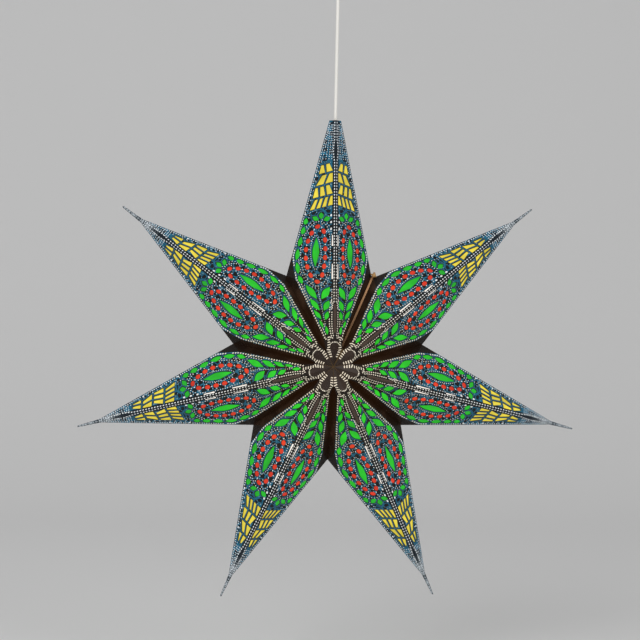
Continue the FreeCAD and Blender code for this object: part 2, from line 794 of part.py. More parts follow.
def make_tie():
    """A string loop through both ears, knotted in front of the notch."""
    loop = doc.addObject("Part::Torus", "TieLoop")
    loop.setExpression("Radius1", "Sizes.tie_loop_radius")
    loop.setExpression("Radius2", "Sizes.tie_radius")
    knot = doc.addObject("Part::Sphere", "TieKnot")
    knot.setExpression("Radius", "Sizes.knot_radius")
    ear = Vector(size("notch_radius") + size("ear_out"), size("tie_loop_radius"), 0)
    across = FreeCAD.Rotation(Vector(0, 1, 0), 90)
    loop.Placement = seam_place() * Placement(ear, across)
    top = ear + Vector(0, size("tie_loop_radius") + size("tie_radius"), 0)
    knot.Placement = seam_place() * Placement(top, FreeCAD.Rotation())
    tie = doc.addObject("Part::Fuse", "Tie")
    tie.Base, tie.Tool = loop, knot
    keep(tie, "closing_tie")


# ---------------------------------------------------------------- turned and plain pieces

def place_at(obj, height, across="0", depth="0"):
    """Bind a piece's place: height above the ceiling, in words of the sheet."""
    obj.setExpression("Placement.Base.x", across)
    obj.setExpression("Placement.Base.y", depth)
    obj.setExpression("Placement.Base.z", height)
    return obj


def cylinder(name, radius, height, low, across="0"):
    """An upright cylinder bound to the sheet."""
    obj = doc.addObject("Part::Cylinder", name)
    obj.setExpression("Radius", radius)
    obj.setExpression("Height", height)
    return place_at(obj, low, across)


def cone(name, low_radius, high_radius, height, low):
    """An upright cone bound to the sheet."""
    obj = doc.addObject("Part::Cone", name)
    obj.setExpression("Radius1", low_radius)
    obj.setExpression("Radius2", high_radius)
    obj.setExpression("Height", height)
    return place_at(obj, low)


def box(name, sizes, low, across="0"):
    """A box centred on its axis, bound to the sheet."""
    obj = doc.addObject("Part::Box", name)
    for prop, words in zip(("Length", "Width", "Height"), sizes):
        obj.setExpression(prop, words)
    return place_at(obj, low, f"{across} - ({sizes[0]}) / 2", f"-({sizes[1]}) / 2")


def join(name, pieces):
    """Pieces fused into one."""
    obj = doc.addObject("Part::MultiFuse", name)
    obj.Shapes = pieces
    return obj


def cut(name, base, tool):
    """One piece taken out of another."""
    obj = doc.addObject("Part::Cut", name)
    obj.Base, obj.Tool = base, tool
    return obj


S = "Sizes."
SLEEVE_TOP = f"({S}lamp_cap_top + {S}contact_height + {S}core_height - {S}core_seat)"
LAMP = f"({star_centre().z})"     # height of the star's centre, for the lamp's pieces
STRAP_REACH = f"({S}cup_radius - {S}cup_wall - {S}strap_room)"


def make_lamp():
    """Bulb, screw shell, contact, core, sleeve and cap, stacked on the cord's axis."""
    globe = doc.addObject("Part::Sphere", "Globe")
    globe.setExpression("Radius", f"{S}globe_radius")
    place_at(globe, f"{LAMP} + {S}globe_centre")
    rise = f"({S}neck_low - {S}globe_centre)"
    neck = cone("BulbNeck", f"sqrt({S}globe_radius ^ 2 - {rise} ^ 2)", f"{S}lamp_cap_radius",
                f"{S}neck_high - {S}neck_low", f"{LAMP} + {S}neck_low")
    cap = cylinder("BulbCap", f"{S}lamp_cap_radius",
                   f"{S}lamp_cap_top - {S}neck_high - {S}lamp_tip", f"{LAMP} + {S}neck_high")
    button = cone("BulbContact", f"{S}lamp_cap_radius", f"{S}contact_radius", f"{S}lamp_tip",
                  f"{LAMP} + {S}lamp_cap_top - {S}lamp_tip")
    keep(join("Bulb", [globe, neck, cap, button]), "bulb")

    core_low = f"{LAMP} + {S}lamp_cap_top + {S}contact_height"
    contact = cylinder("Contact", f"{S}contact_radius", f"{S}contact_height",
                       f"{LAMP} + {S}lamp_cap_top")
    keep(contact, "centre_contact")

    shell_height = f"{S}lamp_cap_top + {S}contact_height - {S}shell_low"
    inner = f"{S}lamp_cap_radius + {S}shell_slack"
    shell = cut("ScrewShell",
                cylinder("ShellOuter", f"{inner} + {S}shell_wall", shell_height,
                         f"{LAMP} + {S}shell_low"),
                cylinder("ShellBore", inner, shell_height, f"{LAMP} + {S}shell_low"))
    keep(shell, "screw_shell")

    bore = f"{inner} + {S}shell_wall + {S}holder_room"
    outer = f"{bore} + {S}holder_wall"
    core = cylinder("Core", f"{bore} - {S}core_slack", f"{S}core_height", core_low)
    keep(core, "holder_core")

    sleeve_height = f"{SLEEVE_TOP} - {S}sleeve_low"
    sleeve = cut("Sleeve",
                 cylinder("SleeveOuter", outer, sleeve_height,
                          f"{LAMP} + {S}sleeve_low"),
                 cylinder("SleeveBore", bore, sleeve_height, f"{LAMP} + {S}sleeve_low"))
    keep(sleeve, "holder_sleeve")

    cap_low = f"{LAMP} + {SLEEVE_TOP}"
    cone_low = f"{cap_low} + {S}cap_straight"
    seat = f"{S}core_seat"
    room = f"{bore} - {S}cap_ledge"
    outside = join("CapOutside", [
        cylinder("CapBody", outer, f"{S}cap_straight", cap_low),
        cone("CapCone", outer, f"{S}cap_neck_radius", f"{S}cap_cone", cone_low)])
    hollow = join("CapHollow", [
        cylinder("CapBore", bore, seat, cap_low),
        cylinder("CapRoom", room, f"{S}cap_straight - ({seat})", f"{cap_low} + {seat}"),
        cone("CapPeak", room, f"{S}cap_neck_radius - {S}cap_lip", f"{S}cap_cone - {S}cap_ledge",
             cone_low),
        cylinder("CapHole", f"{S}cord_radius + {S}cord_slack",
                 f"{S}cap_straight + {S}cap_cone", cap_low)])
    keep(cut("Cap", outside, hollow), "holder_cap")


def make_ceiling_fitting():
    """Cup, strap, screws, terminal block and the grip that holds the cord."""
    drop = f"-{S}cup_height"
    inner_radius = f"{S}cup_radius - {S}cup_wall"
    taper = f"{S}cup_height - {S}cup_straight"
    body = join("CupOutside", [
        cone("CupTaper", f"{S}cup_neck_radius", f"{S}cup_radius", taper, drop),
        cylinder("CupSide", f"{S}cup_radius", f"{S}cup_straight", f"-{S}cup_straight")])
    room = join("CupRoom", [
        cone("CupRoomTaper", f"{S}cup_neck_radius - {S}cup_wall", inner_radius,
             f"{taper} - {S}cup_wall", f"{drop} + {S}cup_wall"),
        cylinder("CupRoomSide", inner_radius, f"{S}cup_straight", f"-{S}cup_straight")])
    door = cylinder("CupHole", f"{S}grip_barrel_radius", f"{S}cup_wall", drop)
    screw_height = f"-{S}screw_drop"
    bores = []
    for name, way in (("Left", "-1"), ("Right", "1")):
        bore = cylinder(f"CupScrewHole{name}", f"{S}screw_radius", f"{S}cup_radius", "0")
        lay_flat(bore, way, screw_height)
        bores.append(bore)
    keep(cut("Cup", body, join("CupOpenings", [room, door] + bores)), "ceiling_cup")

    ear_x = f"{STRAP_REACH} - {S}strap_thick / 2"
    bar = box("StrapBar", (f"2 * {STRAP_REACH}", f"{S}strap_width", f"{S}strap_thick"),
              f"-{S}strap_thick")
    ears = [box(f"StrapEar{name}", (f"{S}strap_thick", f"{S}strap_width", f"{S}strap_drop"),
                f"-{S}strap_drop", f"{way} * ({ear_x})")
            for name, way in (("Left", "-1"), ("Right", "1"))]
    holes = [cylinder(f"StrapHole{name}", f"{S}strap_hole_radius", f"{S}strap_thick",
                      f"-{S}strap_thick", f"{way} * {S}strap_hole_spacing / 2")
             for name, way in (("Left", "-1"), ("Right", "1"))]
    for name, way in (("Left", "-1"), ("Right", "1")):
        tapped = cylinder(f"StrapTapped{name}", f"{S}screw_radius", f"{S}cup_radius", "0")
        lay_flat(tapped, way, screw_height)
        holes.append(tapped)
    keep(cut("Strap", join("StrapBody", [bar] + ears), join("StrapHoles", holes)),
         "mounting_strap")

    block = box("Block", (f"{S}block_side", f"{S}block_side", f"{S}block_height"),
                f"-{S}strap_thick - {S}block_height")
    keep(block, "terminal_block")

    grip = join("GripBody", [
        cone("GripCollar", f"{S}cord_radius + {S}grip_lip", f"{S}grip_radius", f"{S}grip_height",
             f"{drop} - {S}grip_height"),
        cylinder("GripBarrel", f"{S}grip_barrel_radius", f"{S}cup_wall", drop),
        cylinder("GripNut", f"{S}grip_nut_radius", f"{S}grip_nut_height", f"{drop} + {S}cup_wall")])
    bore = cylinder("GripBore", f"{S}cord_radius + {S}cord_slack",
                    f"{S}grip_height + {S}cup_wall + {S}grip_nut_height",
                    f"{drop} - {S}grip_height")
    keep(cut("Grip", grip, bore), "cord_grip")
    make_cup_screws()


def lay_flat(obj, way, height):
    """Turn an upright cylinder to lie along X from the axis, to the left or the right."""
    obj.Placement.Rotation = FreeCAD.Rotation(Vector(0, 1, 0), 90 * int(way))
    place_at(obj, height)
    return obj


def make_cup_screws():
    """Two screws through the cup's side into the strap's ears, one node."""
    pieces = []
    start = f"{STRAP_REACH} - {S}strap_thick"
    for name, way in (("Left", "-1"), ("Right", "1")):
        shank = cylinder(f"Shank{name}", f"{S}screw_radius - {S}cord_slack",
                         f"{S}cup_radius - ({start})", "0")
        head = cylinder(f"Head{name}", f"{S}screw_head_radius", f"{S}screw_head_height", "0")
        lay_flat(shank, way, f"-{S}screw_drop")
        lay_flat(head, way, f"-{S}screw_drop")
        shank.setExpression("Placement.Base.x", f"{way} * ({start})")
        head.setExpression("Placement.Base.x", f"{way} * {S}cup_radius")
        pieces.append(join(f"Screw{name}", [shank, head]))
    both = doc.addObject("Part::Compound", "CupScrews")
    both.Links = pieces
    keep(both, "cup_screws")


def cord_ends():
    """Heights of the cord's top, in the terminal block, and of its end in the holder cap."""
    top = -size("strap_thick") - size("block_height")
    sleeve_top = (size("lamp_cap_top") + size("contact_height") + size("core_height")
                  - size("core_seat"))
    low = star_centre().z + sleeve_top + size("cap_straight")
    return top, low


def make_cord():
    """The cord hangs plumb: one straight run."""
    top, low = cord_ends()
    cord = cylinder("Cord", f"{S}cord_radius", f"{top} - ({low})", f"{low}")
    keep(cord, "power_cord")


def make_cord_stop(arms):
    """A wedge clamped on the cord inside the open end: it carries the star."""
    arm = arms[1]
    depth = size("paper") + size("stop_slack")
    wires = []
    high = arm.halves[1].end - size("stop_back")
    for along in (high - size("stop_length"), high):
        station = (Vector(1, 0, 0), along + depth)
        ridge = arm.ridge_corner("panel", station, depth)
        left = arm.side_corner(arm.halves[1], "panel", station, depth)
        right = flip(arm.side_corner(arm.halves[-1], "panel", station, depth), -1, 1)
        ring = [ridge, left, flip(ridge, 1, -1), right]
        wires.append(Part.makePolygon(ring + ring[:1]))
    wedge = Part.makeLoft(wires, True, True)
    wedge.Placement = turned(math.radians(arm_angle(1)))
    top, low = cord_ends()
    bore = Part.makeCylinder(size("cord_radius") + size("cord_slack"), top - low,
                             Vector(0, 0, low))
    keep_shape(wedge.cut(bore), "cord_stop")


# ---------------------------------------------------------------- build, check and write

def check_and_write():
    """Refuse anything that failed, then write each sub-part to its own file."""
    doc.recompute()
    for obj in doc.Objects:
        if {"Invalid", "Error"} & set(obj.State):
            raise RuntimeError(f"{obj.Name} failed: {obj.State}")
    for obj in subparts:
        if obj.Shape.isNull() or not obj.Shape.isValid():
            raise RuntimeError(f"{obj.Label} has no valid shape")
        if not obj.Shape.Solids:
            raise RuntimeError(f"{obj.Label} holds no solid")
    os.makedirs("parts", exist_ok=True)
    for obj in subparts:
        obj.Shape.exportStep(f"parts/{obj.Label}.step")


arms = {number: make_arm(number) for number in ARMS}
make_boards(arms)
make_tie()
make_lamp()
make_cord()
make_cord_stop(arms)
make_ceiling_fitting()
check_and_write()

top, low = cord_ends()
cord = next(obj for obj in subparts if obj.Label == "power_cord")
section = math.pi * size("cord_radius") ** 2
print(f"cord: one straight run of {top - low:.1f} mm, "
      f"volume over section x length {cord.Shape.Volume / section / (top - low):.4f}")
print(f"{len(subparts)} sub-parts, {sum(len(obj.Shape.Solids) for obj in subparts)} solids")
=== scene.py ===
"""A hanging paper star lantern: finishes, printed ornament, cord, stage and camera."""

import json
import logging
import math
from dataclasses import dataclass, field
from enum import Enum
from itertools import chain
from typing import Iterator, Sequence

import bmesh
import bpy
from mathutils import Color, Matrix, Vector

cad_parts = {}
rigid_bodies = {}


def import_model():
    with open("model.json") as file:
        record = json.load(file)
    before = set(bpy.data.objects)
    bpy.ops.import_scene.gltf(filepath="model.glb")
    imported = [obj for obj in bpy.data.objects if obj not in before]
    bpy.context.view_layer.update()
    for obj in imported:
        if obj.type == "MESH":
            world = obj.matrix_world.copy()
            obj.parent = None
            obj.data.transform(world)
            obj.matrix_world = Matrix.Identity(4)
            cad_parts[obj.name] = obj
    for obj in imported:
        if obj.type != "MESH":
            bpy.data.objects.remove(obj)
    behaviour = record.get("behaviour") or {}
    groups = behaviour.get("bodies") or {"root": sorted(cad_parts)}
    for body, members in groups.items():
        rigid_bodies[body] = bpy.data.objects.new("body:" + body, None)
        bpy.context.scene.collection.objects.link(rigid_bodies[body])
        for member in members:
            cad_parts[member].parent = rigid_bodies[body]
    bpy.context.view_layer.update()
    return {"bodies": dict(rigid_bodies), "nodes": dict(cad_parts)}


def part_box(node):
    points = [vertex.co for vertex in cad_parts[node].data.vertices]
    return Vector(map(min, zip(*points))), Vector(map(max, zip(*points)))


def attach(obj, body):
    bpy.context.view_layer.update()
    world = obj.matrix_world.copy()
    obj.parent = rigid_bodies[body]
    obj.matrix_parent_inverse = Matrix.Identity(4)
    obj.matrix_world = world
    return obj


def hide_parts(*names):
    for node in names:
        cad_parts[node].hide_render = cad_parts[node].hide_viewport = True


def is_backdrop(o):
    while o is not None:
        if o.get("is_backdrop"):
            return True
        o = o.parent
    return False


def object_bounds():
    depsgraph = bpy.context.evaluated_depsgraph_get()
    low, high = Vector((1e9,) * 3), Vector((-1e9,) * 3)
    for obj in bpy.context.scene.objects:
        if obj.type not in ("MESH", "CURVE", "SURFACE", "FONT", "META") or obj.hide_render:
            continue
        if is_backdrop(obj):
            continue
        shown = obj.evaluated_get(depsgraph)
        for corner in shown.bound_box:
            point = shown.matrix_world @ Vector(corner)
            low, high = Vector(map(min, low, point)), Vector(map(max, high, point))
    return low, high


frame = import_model()
LOG = logging.getLogger("lantern")
ROOT = next(iter(frame["bodies"]))

Colour = str | tuple[float, float, float]
Point = tuple[float, float]
Line = Sequence[Point]
Socket = bpy.types.NodeSocket
Material = bpy.types.Material
Mesh = bpy.types.Mesh
Piece = bpy.types.Object
BLACK: Colour = (0.0, 0.0, 0.0)
WHITE: Colour = (1.0, 1.0, 1.0)
FULL_TURN = 2 * math.pi
WELD = 1e-7


class Side(Enum):
    """A half of an arm, left or right of its ridge seen with the tip up."""

    LEFT = 1
    RIGHT = -1


class Face(Enum):
    """The front or the back of the star."""

    FRONT = 1
    BACK = -1


class Area(Enum):
    """The parts of a folded sheet, by the place of their finish in its list."""

    PRINTED = 0
    BARE = 1
    TONGUE = 2
    INSIDE = 3


# ---------------------------------------------------------------- finishes


def rgba(colour: Colour) -> tuple[float, ...]:
    """Linear values with full alpha.

    Args:
        colour: linear values, or a six-figure sRGB code.

    Returns:
        Red, green, blue and alpha.
    """
    if isinstance(colour, str):
        parts = [int(colour[index:index + 2], 16) / 255 for index in (0, 2, 4)]
        colour = Color(parts).from_srgb_to_scene_linear()
    return (*colour, 1.0)


class Graph:
    """Adds and joins the nodes of one tree."""

    def __init__(self, tree: bpy.types.NodeTree) -> None:
        """Keep the tree that gets the nodes."""
        self.tree = tree

    def put(self, socket: Socket, value: object) -> None:
        """Feed an input.

        Args:
            socket: the input.
            value: another node's output, or a constant.
        """
        if isinstance(value, Socket):
            self.tree.links.new(value, socket)
        else:
            socket.default_value = rgba(value) if socket.type == "RGBA" else value

    def add(self, kind: str, *ordered: object, **named: object) -> bpy.types.Node:
        """Add a node.

        Args:
            kind: its type, after the word ShaderNode.
            ordered: what its first inputs get.
            named: inputs or settings by name, with underscores for spaces.

        Returns:
            The new node.
        """
        node = self.tree.nodes.new(f"ShaderNode{kind}")
        for name, value in named.items():
            socket = node.inputs.get(name.replace("_", " ").title())
            if socket is None:
                setattr(node, name, value)
            else:
                self.put(socket, value)
        for socket, value in zip(node.inputs, ordered):
            self.put(socket, value)
        return node

    def math(self, operation: str, *values: object) -> Socket:
        """The result of a Math node."""
        return self.add("Math", *values, operation=operation).outputs[0]

    def times(self, first: object, second: object) -> Socket:
        """The product of two values."""
        return self.math("MULTIPLY", first, second)

    def plus(self, first: object, second: object) -> Socket:
        """The sum of two values."""
        return self.math("ADD", first, second)

    def vector(self, operation: str, *values: object, result: str = "Vector") -> Socket:
        """The result of a Vector Math node, its Vector or its Value."""
        return self.add("VectorMath", *values, operation=operation).outputs[result]

    def span(self, value: Socket, low: float, high: float, first: float = 0.0,
             last: float = 1.0) -> Socket:
        """A value mapped from low and high onto first and last, and held between them."""
        return self.add("MapRange", value, low, high, first, last).outputs[0]

    def mix(self, share: Socket, under: object, over: object) -> Socket:
        """Lay one colour over another.

        Args:
            share: how much of the upper colour shows.
            under: the lower colour.
            over: the upper colour.

        Returns:
            The mixed colour.
        """
        node = self.add("Mix", share, data_type="RGBA")
        self.put(node.inputs[6], under)
        self.put(node.inputs[7], over)
        return node.outputs[2]

    def ramp(self, value: Socket, stops: Sequence[tuple[float, Colour]]) -> Socket:
        """Turn a value into a colour.

        Args:
            value: the value, 0 to 1.
            stops: the place and the colour of each stop.

        Returns:
            The colour.
        """
        node = self.add("ValToRGB", value)
        elements = node.color_ramp.elements
        while len(elements) < len(stops):
            elements.new(1.0)
        for element, (place, colour) in zip(elements, stops):
            element.position = place
            element.color = rgba(colour)
        return node.outputs[0]

    def shade(self, colour: object, value: Socket) -> Socket:
        """A colour made lighter or darker by a value."""
        return self.add("HueSaturation", color=colour, value=value).outputs[0]

    def spot(self) -> Socket:
        """Object coordinates."""
        return self.add("TexCoord").outputs["Object"]

    def attribute(self, name: str) -> Socket:
        """An attribute of the mesh, as a value."""
        return self.add("Attribute", attribute_name=name).outputs["Fac"]

    def uneven(self, place: Socket, scale: float, low: float = 0.3,
               spread: float = 1.5) -> Socket:
        """A cloudy value between low and low plus spread."""
        cloud = self.add("TexNoise", place, scale=scale).outputs[0]
        return self.plus(low, self.times(cloud, spread))

    def specks(self, place: Socket, pitch: float, scatter: float, size: float) -> Socket:
        """A mask of small spots, a pitch apart and moved about by their scatter."""
        cells = self.add("TexVoronoi", place, scale=1.0 / pitch, randomness=scatter)
        return self.math("LESS_THAN", cells.outputs["Distance"], size)


def make_fibre_group() -> bpy.types.NodeTree:
    """Paper fibres and mottling, shared by card, board and tissue.

    Returns:
        A group with Vector, Scale and Strength inputs, and Tone and Height outputs.
    """
    tree = bpy.data.node_groups.new("paper_fibres", "ShaderNodeTree")
    for name, way, kind in (("Vector", "INPUT", "Vector"), ("Scale", "INPUT", "Float"),
                            ("Strength", "INPUT", "Float"), ("Tone", "OUTPUT", "Float"),
                            ("Height", "OUTPUT", "Float")):
        tree.interface.new_socket(name, in_out=way, socket_type=f"NodeSocket{kind}")
    graph = Graph(tree)
    fineness, coarse = 7.0, 0.6
    given = tree.nodes.new("NodeGroupInput").outputs
    results = tree.nodes.new("NodeGroupOutput").inputs
    cloud = graph.add("TexNoise", given["Vector"], scale=given["Scale"], detail=4.0,
                      roughness=0.6)
    fine = graph.add("TexNoise", given["Vector"], scale=graph.times(given["Scale"], fineness),
                     detail=3.0, roughness=0.7, distortion=1.4)
    both = graph.plus(graph.times(cloud.outputs[0], coarse),
                      graph.times(fine.outputs[0], 1.0 - coarse))
    centred = graph.math("SUBTRACT", both, 0.5)
    graph.put(results["Tone"], graph.times(centred, given["Strength"]))
    graph.put(results["Height"], both)
    return tree


@dataclass(frozen=True)
class Finish:
    """The plain part of every finish: colour, roughness and fibre or grain."""

    name: str
    colour: Colour
    roughness: float = 0.6
    metallic: float = 0.0
    grain_scale: float = 220.0
    grain: float = 0.25
    grain_gloss: float = 0.5
    bump: float = 0.12
    relief: float = 0.0001
    glow: float = 0.0
    shine: float = 0.5

    def build(self, fibres: bpy.types.NodeTree) -> Material:
        """Make the material.

        Args:
            fibres: the shared fibre group.

        Returns:
            The finished material.
        """
        material = bpy.data.materials.new(self.name)
        material.use_nodes = True
        graph = Graph(material.node_tree)
        grain = graph.add("Group", node_tree=fibres, vector=graph.spot(),
                          scale=self.grain_scale, strength=self.grain).outputs
        colour = self.paint(graph, grain["Tone"])
        bump = graph.add("Bump", strength=self.bump, distance=self.relief,
                         height=grain["Height"])
        rough = graph.plus(graph.times(grain["Tone"], self.grain_gloss), self.roughness)
        inputs = {"Metallic": self.metallic, "Specular IOR Level": self.shine,
                  "Roughness": rough, "Base Color": colour, "Normal": bump.outputs[0]}
        inputs.update(self.light(graph, colour))
        for name, value in inputs.items():
            graph.put(material.node_tree.nodes["Principled BSDF"].inputs[name], value)
        return material

    def paint(self, graph: Graph, tone: Socket) -> Socket:
        """The colour, shaded by the tone of the grain."""
        return graph.shade(self.colour, graph.plus(tone, 1.0))

    def light(self, graph: Graph, colour: Socket) -> dict[str, object]:
        """The shader's inputs for light from the lamp inside, where the finish glows."""
        return {"Emission Color": colour, "Emission Strength": self.glow} if self.glow else {}


@dataclass(frozen=True)
class Tissue(Finish):
    """Coloured tissue lit from behind, brightest near the lamp, warm and dim inside."""

    centre: Vector = field(default_factory=Vector)
    near_colour: Colour = WHITE
    inside: Colour = (0.10, 0.07, 0.045)
    near: float = 0.05
    far: float = 0.26
    far_share: float = 0.75
    dark_share: float = 0.30
    patches: tuple[float, float, float] = (52.0, 0.36, 1.2)

    def paint(self, graph: Graph, tone: Socket) -> Socket:
        """The colour by reflected light, deeper than the light that comes through."""
        dark = graph.plus(graph.times(tone, self.dark_share), self.dark_share)
        return graph.shade(self.colour, dark)

    def light(self, graph: Graph, colour: Socket) -> dict[str, object]:
        """Fade the light with the distance from the lamp.

        Args:
            graph: the material's nodes.
            colour: the colour by reflected light, which the light doesn't take.

        Returns:
            The shader's inputs for light.
        """
        place = graph.spot()
        offset = graph.vector("SUBTRACT", place, self.centre)
        distance = graph.vector("LENGTH", offset, result="Value")
        fade = graph.span(distance, self.near, self.far)
        tint = graph.mix(fade, self.near_colour, self.colour)
        strength = graph.math("SUBTRACT", 1.0, graph.times(fade, 1.0 - self.far_share))
        through = graph.shade(tint, graph.times(strength, graph.uneven(place, *self.patches)))
        normal = graph.add("NewGeometry").outputs["Normal"]
        facing = graph.vector("DOT_PRODUCT", normal, offset, result="Value")
        inner = graph.math("LESS_THAN", facing, 0.0)
        return {"Emission Color": graph.mix(inner, through, self.inside),
                "Emission Strength": self.glow}


@dataclass(frozen=True)
class Card(Finish):
    """Stiff paper whose colour runs from a warm hub to cool points; the warm hub is painted
    lamplight.
    """

    centre: Vector = field(default_factory=Vector)
    # painted lamplight: the hub colour is warmer where the lamp shines through the paper
    painted_lamplight_hub_colour: Colour = BLACK
    point_colour: Colour = BLACK
    run: Point = (0.07, 0.30)
    middle: float = 0.32
    hub_glow: float = 0.0
    hub_fall: float = 6.0
    glow_colour: Colour = "b87a4c"
    rub: float = 0.0
    rub_colour: Colour = (0.065, 0.036, 0.022)
    rub_scale: float = 46.0
    rub_edge: Point = (0.44, 0.70)

    def reach(self, graph: Graph) -> Socket:
        """Distance from the star's centre, 0 at the hub to 1 at a point."""
        distance = graph.vector("DISTANCE", graph.spot(), self.centre, result="Value")
        return graph.span(distance, *self.run)

    def paint(self, graph: Graph, tone: Socket) -> Socket:
        """Run through the three colours, warmer at the hub as painted lamplight, and brown the
        card in cloudy patches.

        Args:
            graph: the material's nodes.
            tone: the tone of the grain.

        Returns:
            The colour.
        """
        # painted lamplight: the colour warms towards the hub, round the lamp
        ramp = graph.ramp(self.reach(graph), ((0.0, self.painted_lamplight_hub_colour), (self.middle, self.colour),
                                              (1.0, self.point_colour)))
        shaded = graph.shade(ramp, graph.plus(tone, 1.0))
        if not self.rub:
            return shaded
        cloud = graph.add("TexNoise", graph.spot(), scale=self.rub_scale, detail=5.0).outputs[0]
        return graph.mix(graph.span(cloud, *self.rub_edge, last=self.rub), shaded,
                         self.rub_colour)

    def light(self, graph: Graph, colour: Socket) -> dict[str, object]:
        """Let the lamp warm the paper round the hub.

        Args:
            graph: the material's nodes.
            colour: the card's colour.

        Returns:
            The shader's inputs for light.
        """
        if not self.hub_glow:
            return super().light(graph, colour)
        near = graph.math("SUBTRACT", 1.0, self.reach(graph))
        glow = graph.times(graph.math("POWER", near, self.hub_fall), self.hub_glow)
        return {"Emission Color": graph.mix(glow, BLACK, self.glow_colour),
                "Emission Strength": 1.0}


@dataclass(frozen=True)
class PrintedCard(Card):
    """Card with a printed tracery of blue ribbons, bare beyond the edge of the print.

    Places on the sheet are in centimetres, and the run of the pale tip is in metres from
    the foot of the arm's needle.
    """

    ribbon: Colour = BLACK
    # painted lamplight: the ribbon is paler and greyer near the hub
    painted_lamplight_ribbon_near: Colour = BLACK
    ribbon_edge: Point = (0.075, 0.10)
    ribbon_fade: float = 0.25
    bare: Colour = BLACK
    tongue: Colour = BLACK
    tongue_end: float = 3.3
    almond: Colour = (0.10, 0.065, 0.05)
    almond_middle: float = 5.5
    almond_size: Point = (1.6, 0.17)
    field_start: Point = (6.4, 0.36)
    speck_colour: Colour = "b9cad2"
    speck: tuple[float, float, float] = (0.24, 0.6, 0.24)
    speck_reach: float = 0.09
    tip_colour: Colour = "c2cbd2"
    tip_speck: tuple[float, float, float] = (0.17, 0.5, 0.50)
    tip_run: Point = (-0.024, -0.002)
    tip_share: float = 0.92
    veil: float = 0.8
    cell: float = 0.55
    cell_scatter: float = 0.85
    sway: float = 0.9
    sway_reach: float = 0.5
    wear: float = 2.4

    def paint(self, graph: Graph, tone: Socket) -> Socket:
        """Lay the print on the card.

        Args:
            graph: the material's nodes.
            tone: the tone of the grain.

        Returns:
            The colour.
        """
        colour = super().paint(graph, tone)
        sheet = graph.add("UVMap", uv_map="sheet").outputs[0]
        for mask, ink in self.layers(graph, sheet):
            colour = graph.mix(mask, colour, ink)
        return colour

    def layers(self, graph: Graph, sheet: Socket) -> Iterator[tuple[Socket, object]]:
        """The layers of the print: ribbons, specks, pale tip, almond, tongue and bare flap.

        Args:
            graph: the material's nodes.
            sheet: the place on the sheet.

        Yields:
            The mask and the colour of each layer.
        """
        along, across, _ = graph.add("SeparateXYZ", sheet).outputs
        start, ridge = self.field_start
        printed = graph.times(graph.math("GREATER_THAN", across, ridge),
                              graph.math("GREATER_THAN", along, start))
        web = self.web(graph, sheet)
        # the ribbon's tint near the hub is painted lamplight
        tint = graph.ramp(self.reach(graph), (
            (0.0, self.painted_lamplight_ribbon_near), (self.ribbon_fade, self.ribbon), (1.0, self.ribbon)))
        yield (graph.times(graph.span(web, *self.ribbon_edge, 1.0, 0.0), printed),
               graph.shade(tint, graph.uneven(sheet, self.wear)))
        spots = graph.times(graph.specks(sheet, *self.speck),
                            graph.math("LESS_THAN", web, self.speck_reach))
        yield graph.times(graph.times(spots, printed), self.veil), self.speck_colour
        paling = graph.span(graph.attribute("pinch"), *self.tip_run, last=self.tip_share)
        yield graph.times(paling, graph.specks(sheet, *self.tip_speck)), self.tip_colour
        reach, half = self.almond_size
        off = graph.math("ABSOLUTE", graph.math("SUBTRACT", along, self.almond_middle))
        almond = graph.times(graph.math("LESS_THAN", across, half),
                             graph.math("LESS_THAN", off, reach))
        yield graph.times(almond, self.veil), self.almond
        yield graph.math("LESS_THAN", along, self.tongue_end), self.tongue
        yield graph.math("GREATER_THAN", graph.attribute("flap"), 0.0), self.bare

    def web(self, graph: Graph, sheet: Socket) -> Socket:
        """A swaying net of cells.

        Args:
            graph: the material's nodes.
            sheet: the place on the sheet.

        Returns:
            The distance to the nearest line of the net.
        """
        sway = graph.add("TexNoise", sheet, scale=self.sway, detail=2.0).outputs["Color"]
        reach = (self.sway_reach, self.sway_reach, 0.0)
        net = graph.add("TexVoronoi", graph.vector("MULTIPLY_ADD", sway, reach, sheet),
                        feature="DISTANCE_TO_EDGE", scale=1.0 / self.cell,
                        randomness=self.cell_scatter)
        return net.outputs["Distance"]


@dataclass(frozen=True)
class Outline(Card):
    """The printed outline of a window: dark at its edge, a blue ribbon, then dark."""

    ribbon: Colour = BLACK
    bands: tuple[float, ...] = (0.34, 0.40, 0.84, 0.90)
    wear: float = 260.0

    def paint(self, graph: Graph, tone: Socket) -> Socket:
        """Lay the ribbon between its dark edges.

        Args:
            graph: the material's nodes.
            tone: the tone of the grain.

        Returns:
            The colour.
        """
        stops = zip((0.0, *self.bands), (BLACK, BLACK, WHITE, WHITE, BLACK))
        mask = graph.ramp(graph.attribute("band"), list(stops))
        ribbon = graph.shade(self.ribbon, graph.uneven(graph.spot(), self.wear))
        return graph.mix(mask, super().paint(graph, tone), ribbon)


# ---------------------------------------------------------------- the folded star


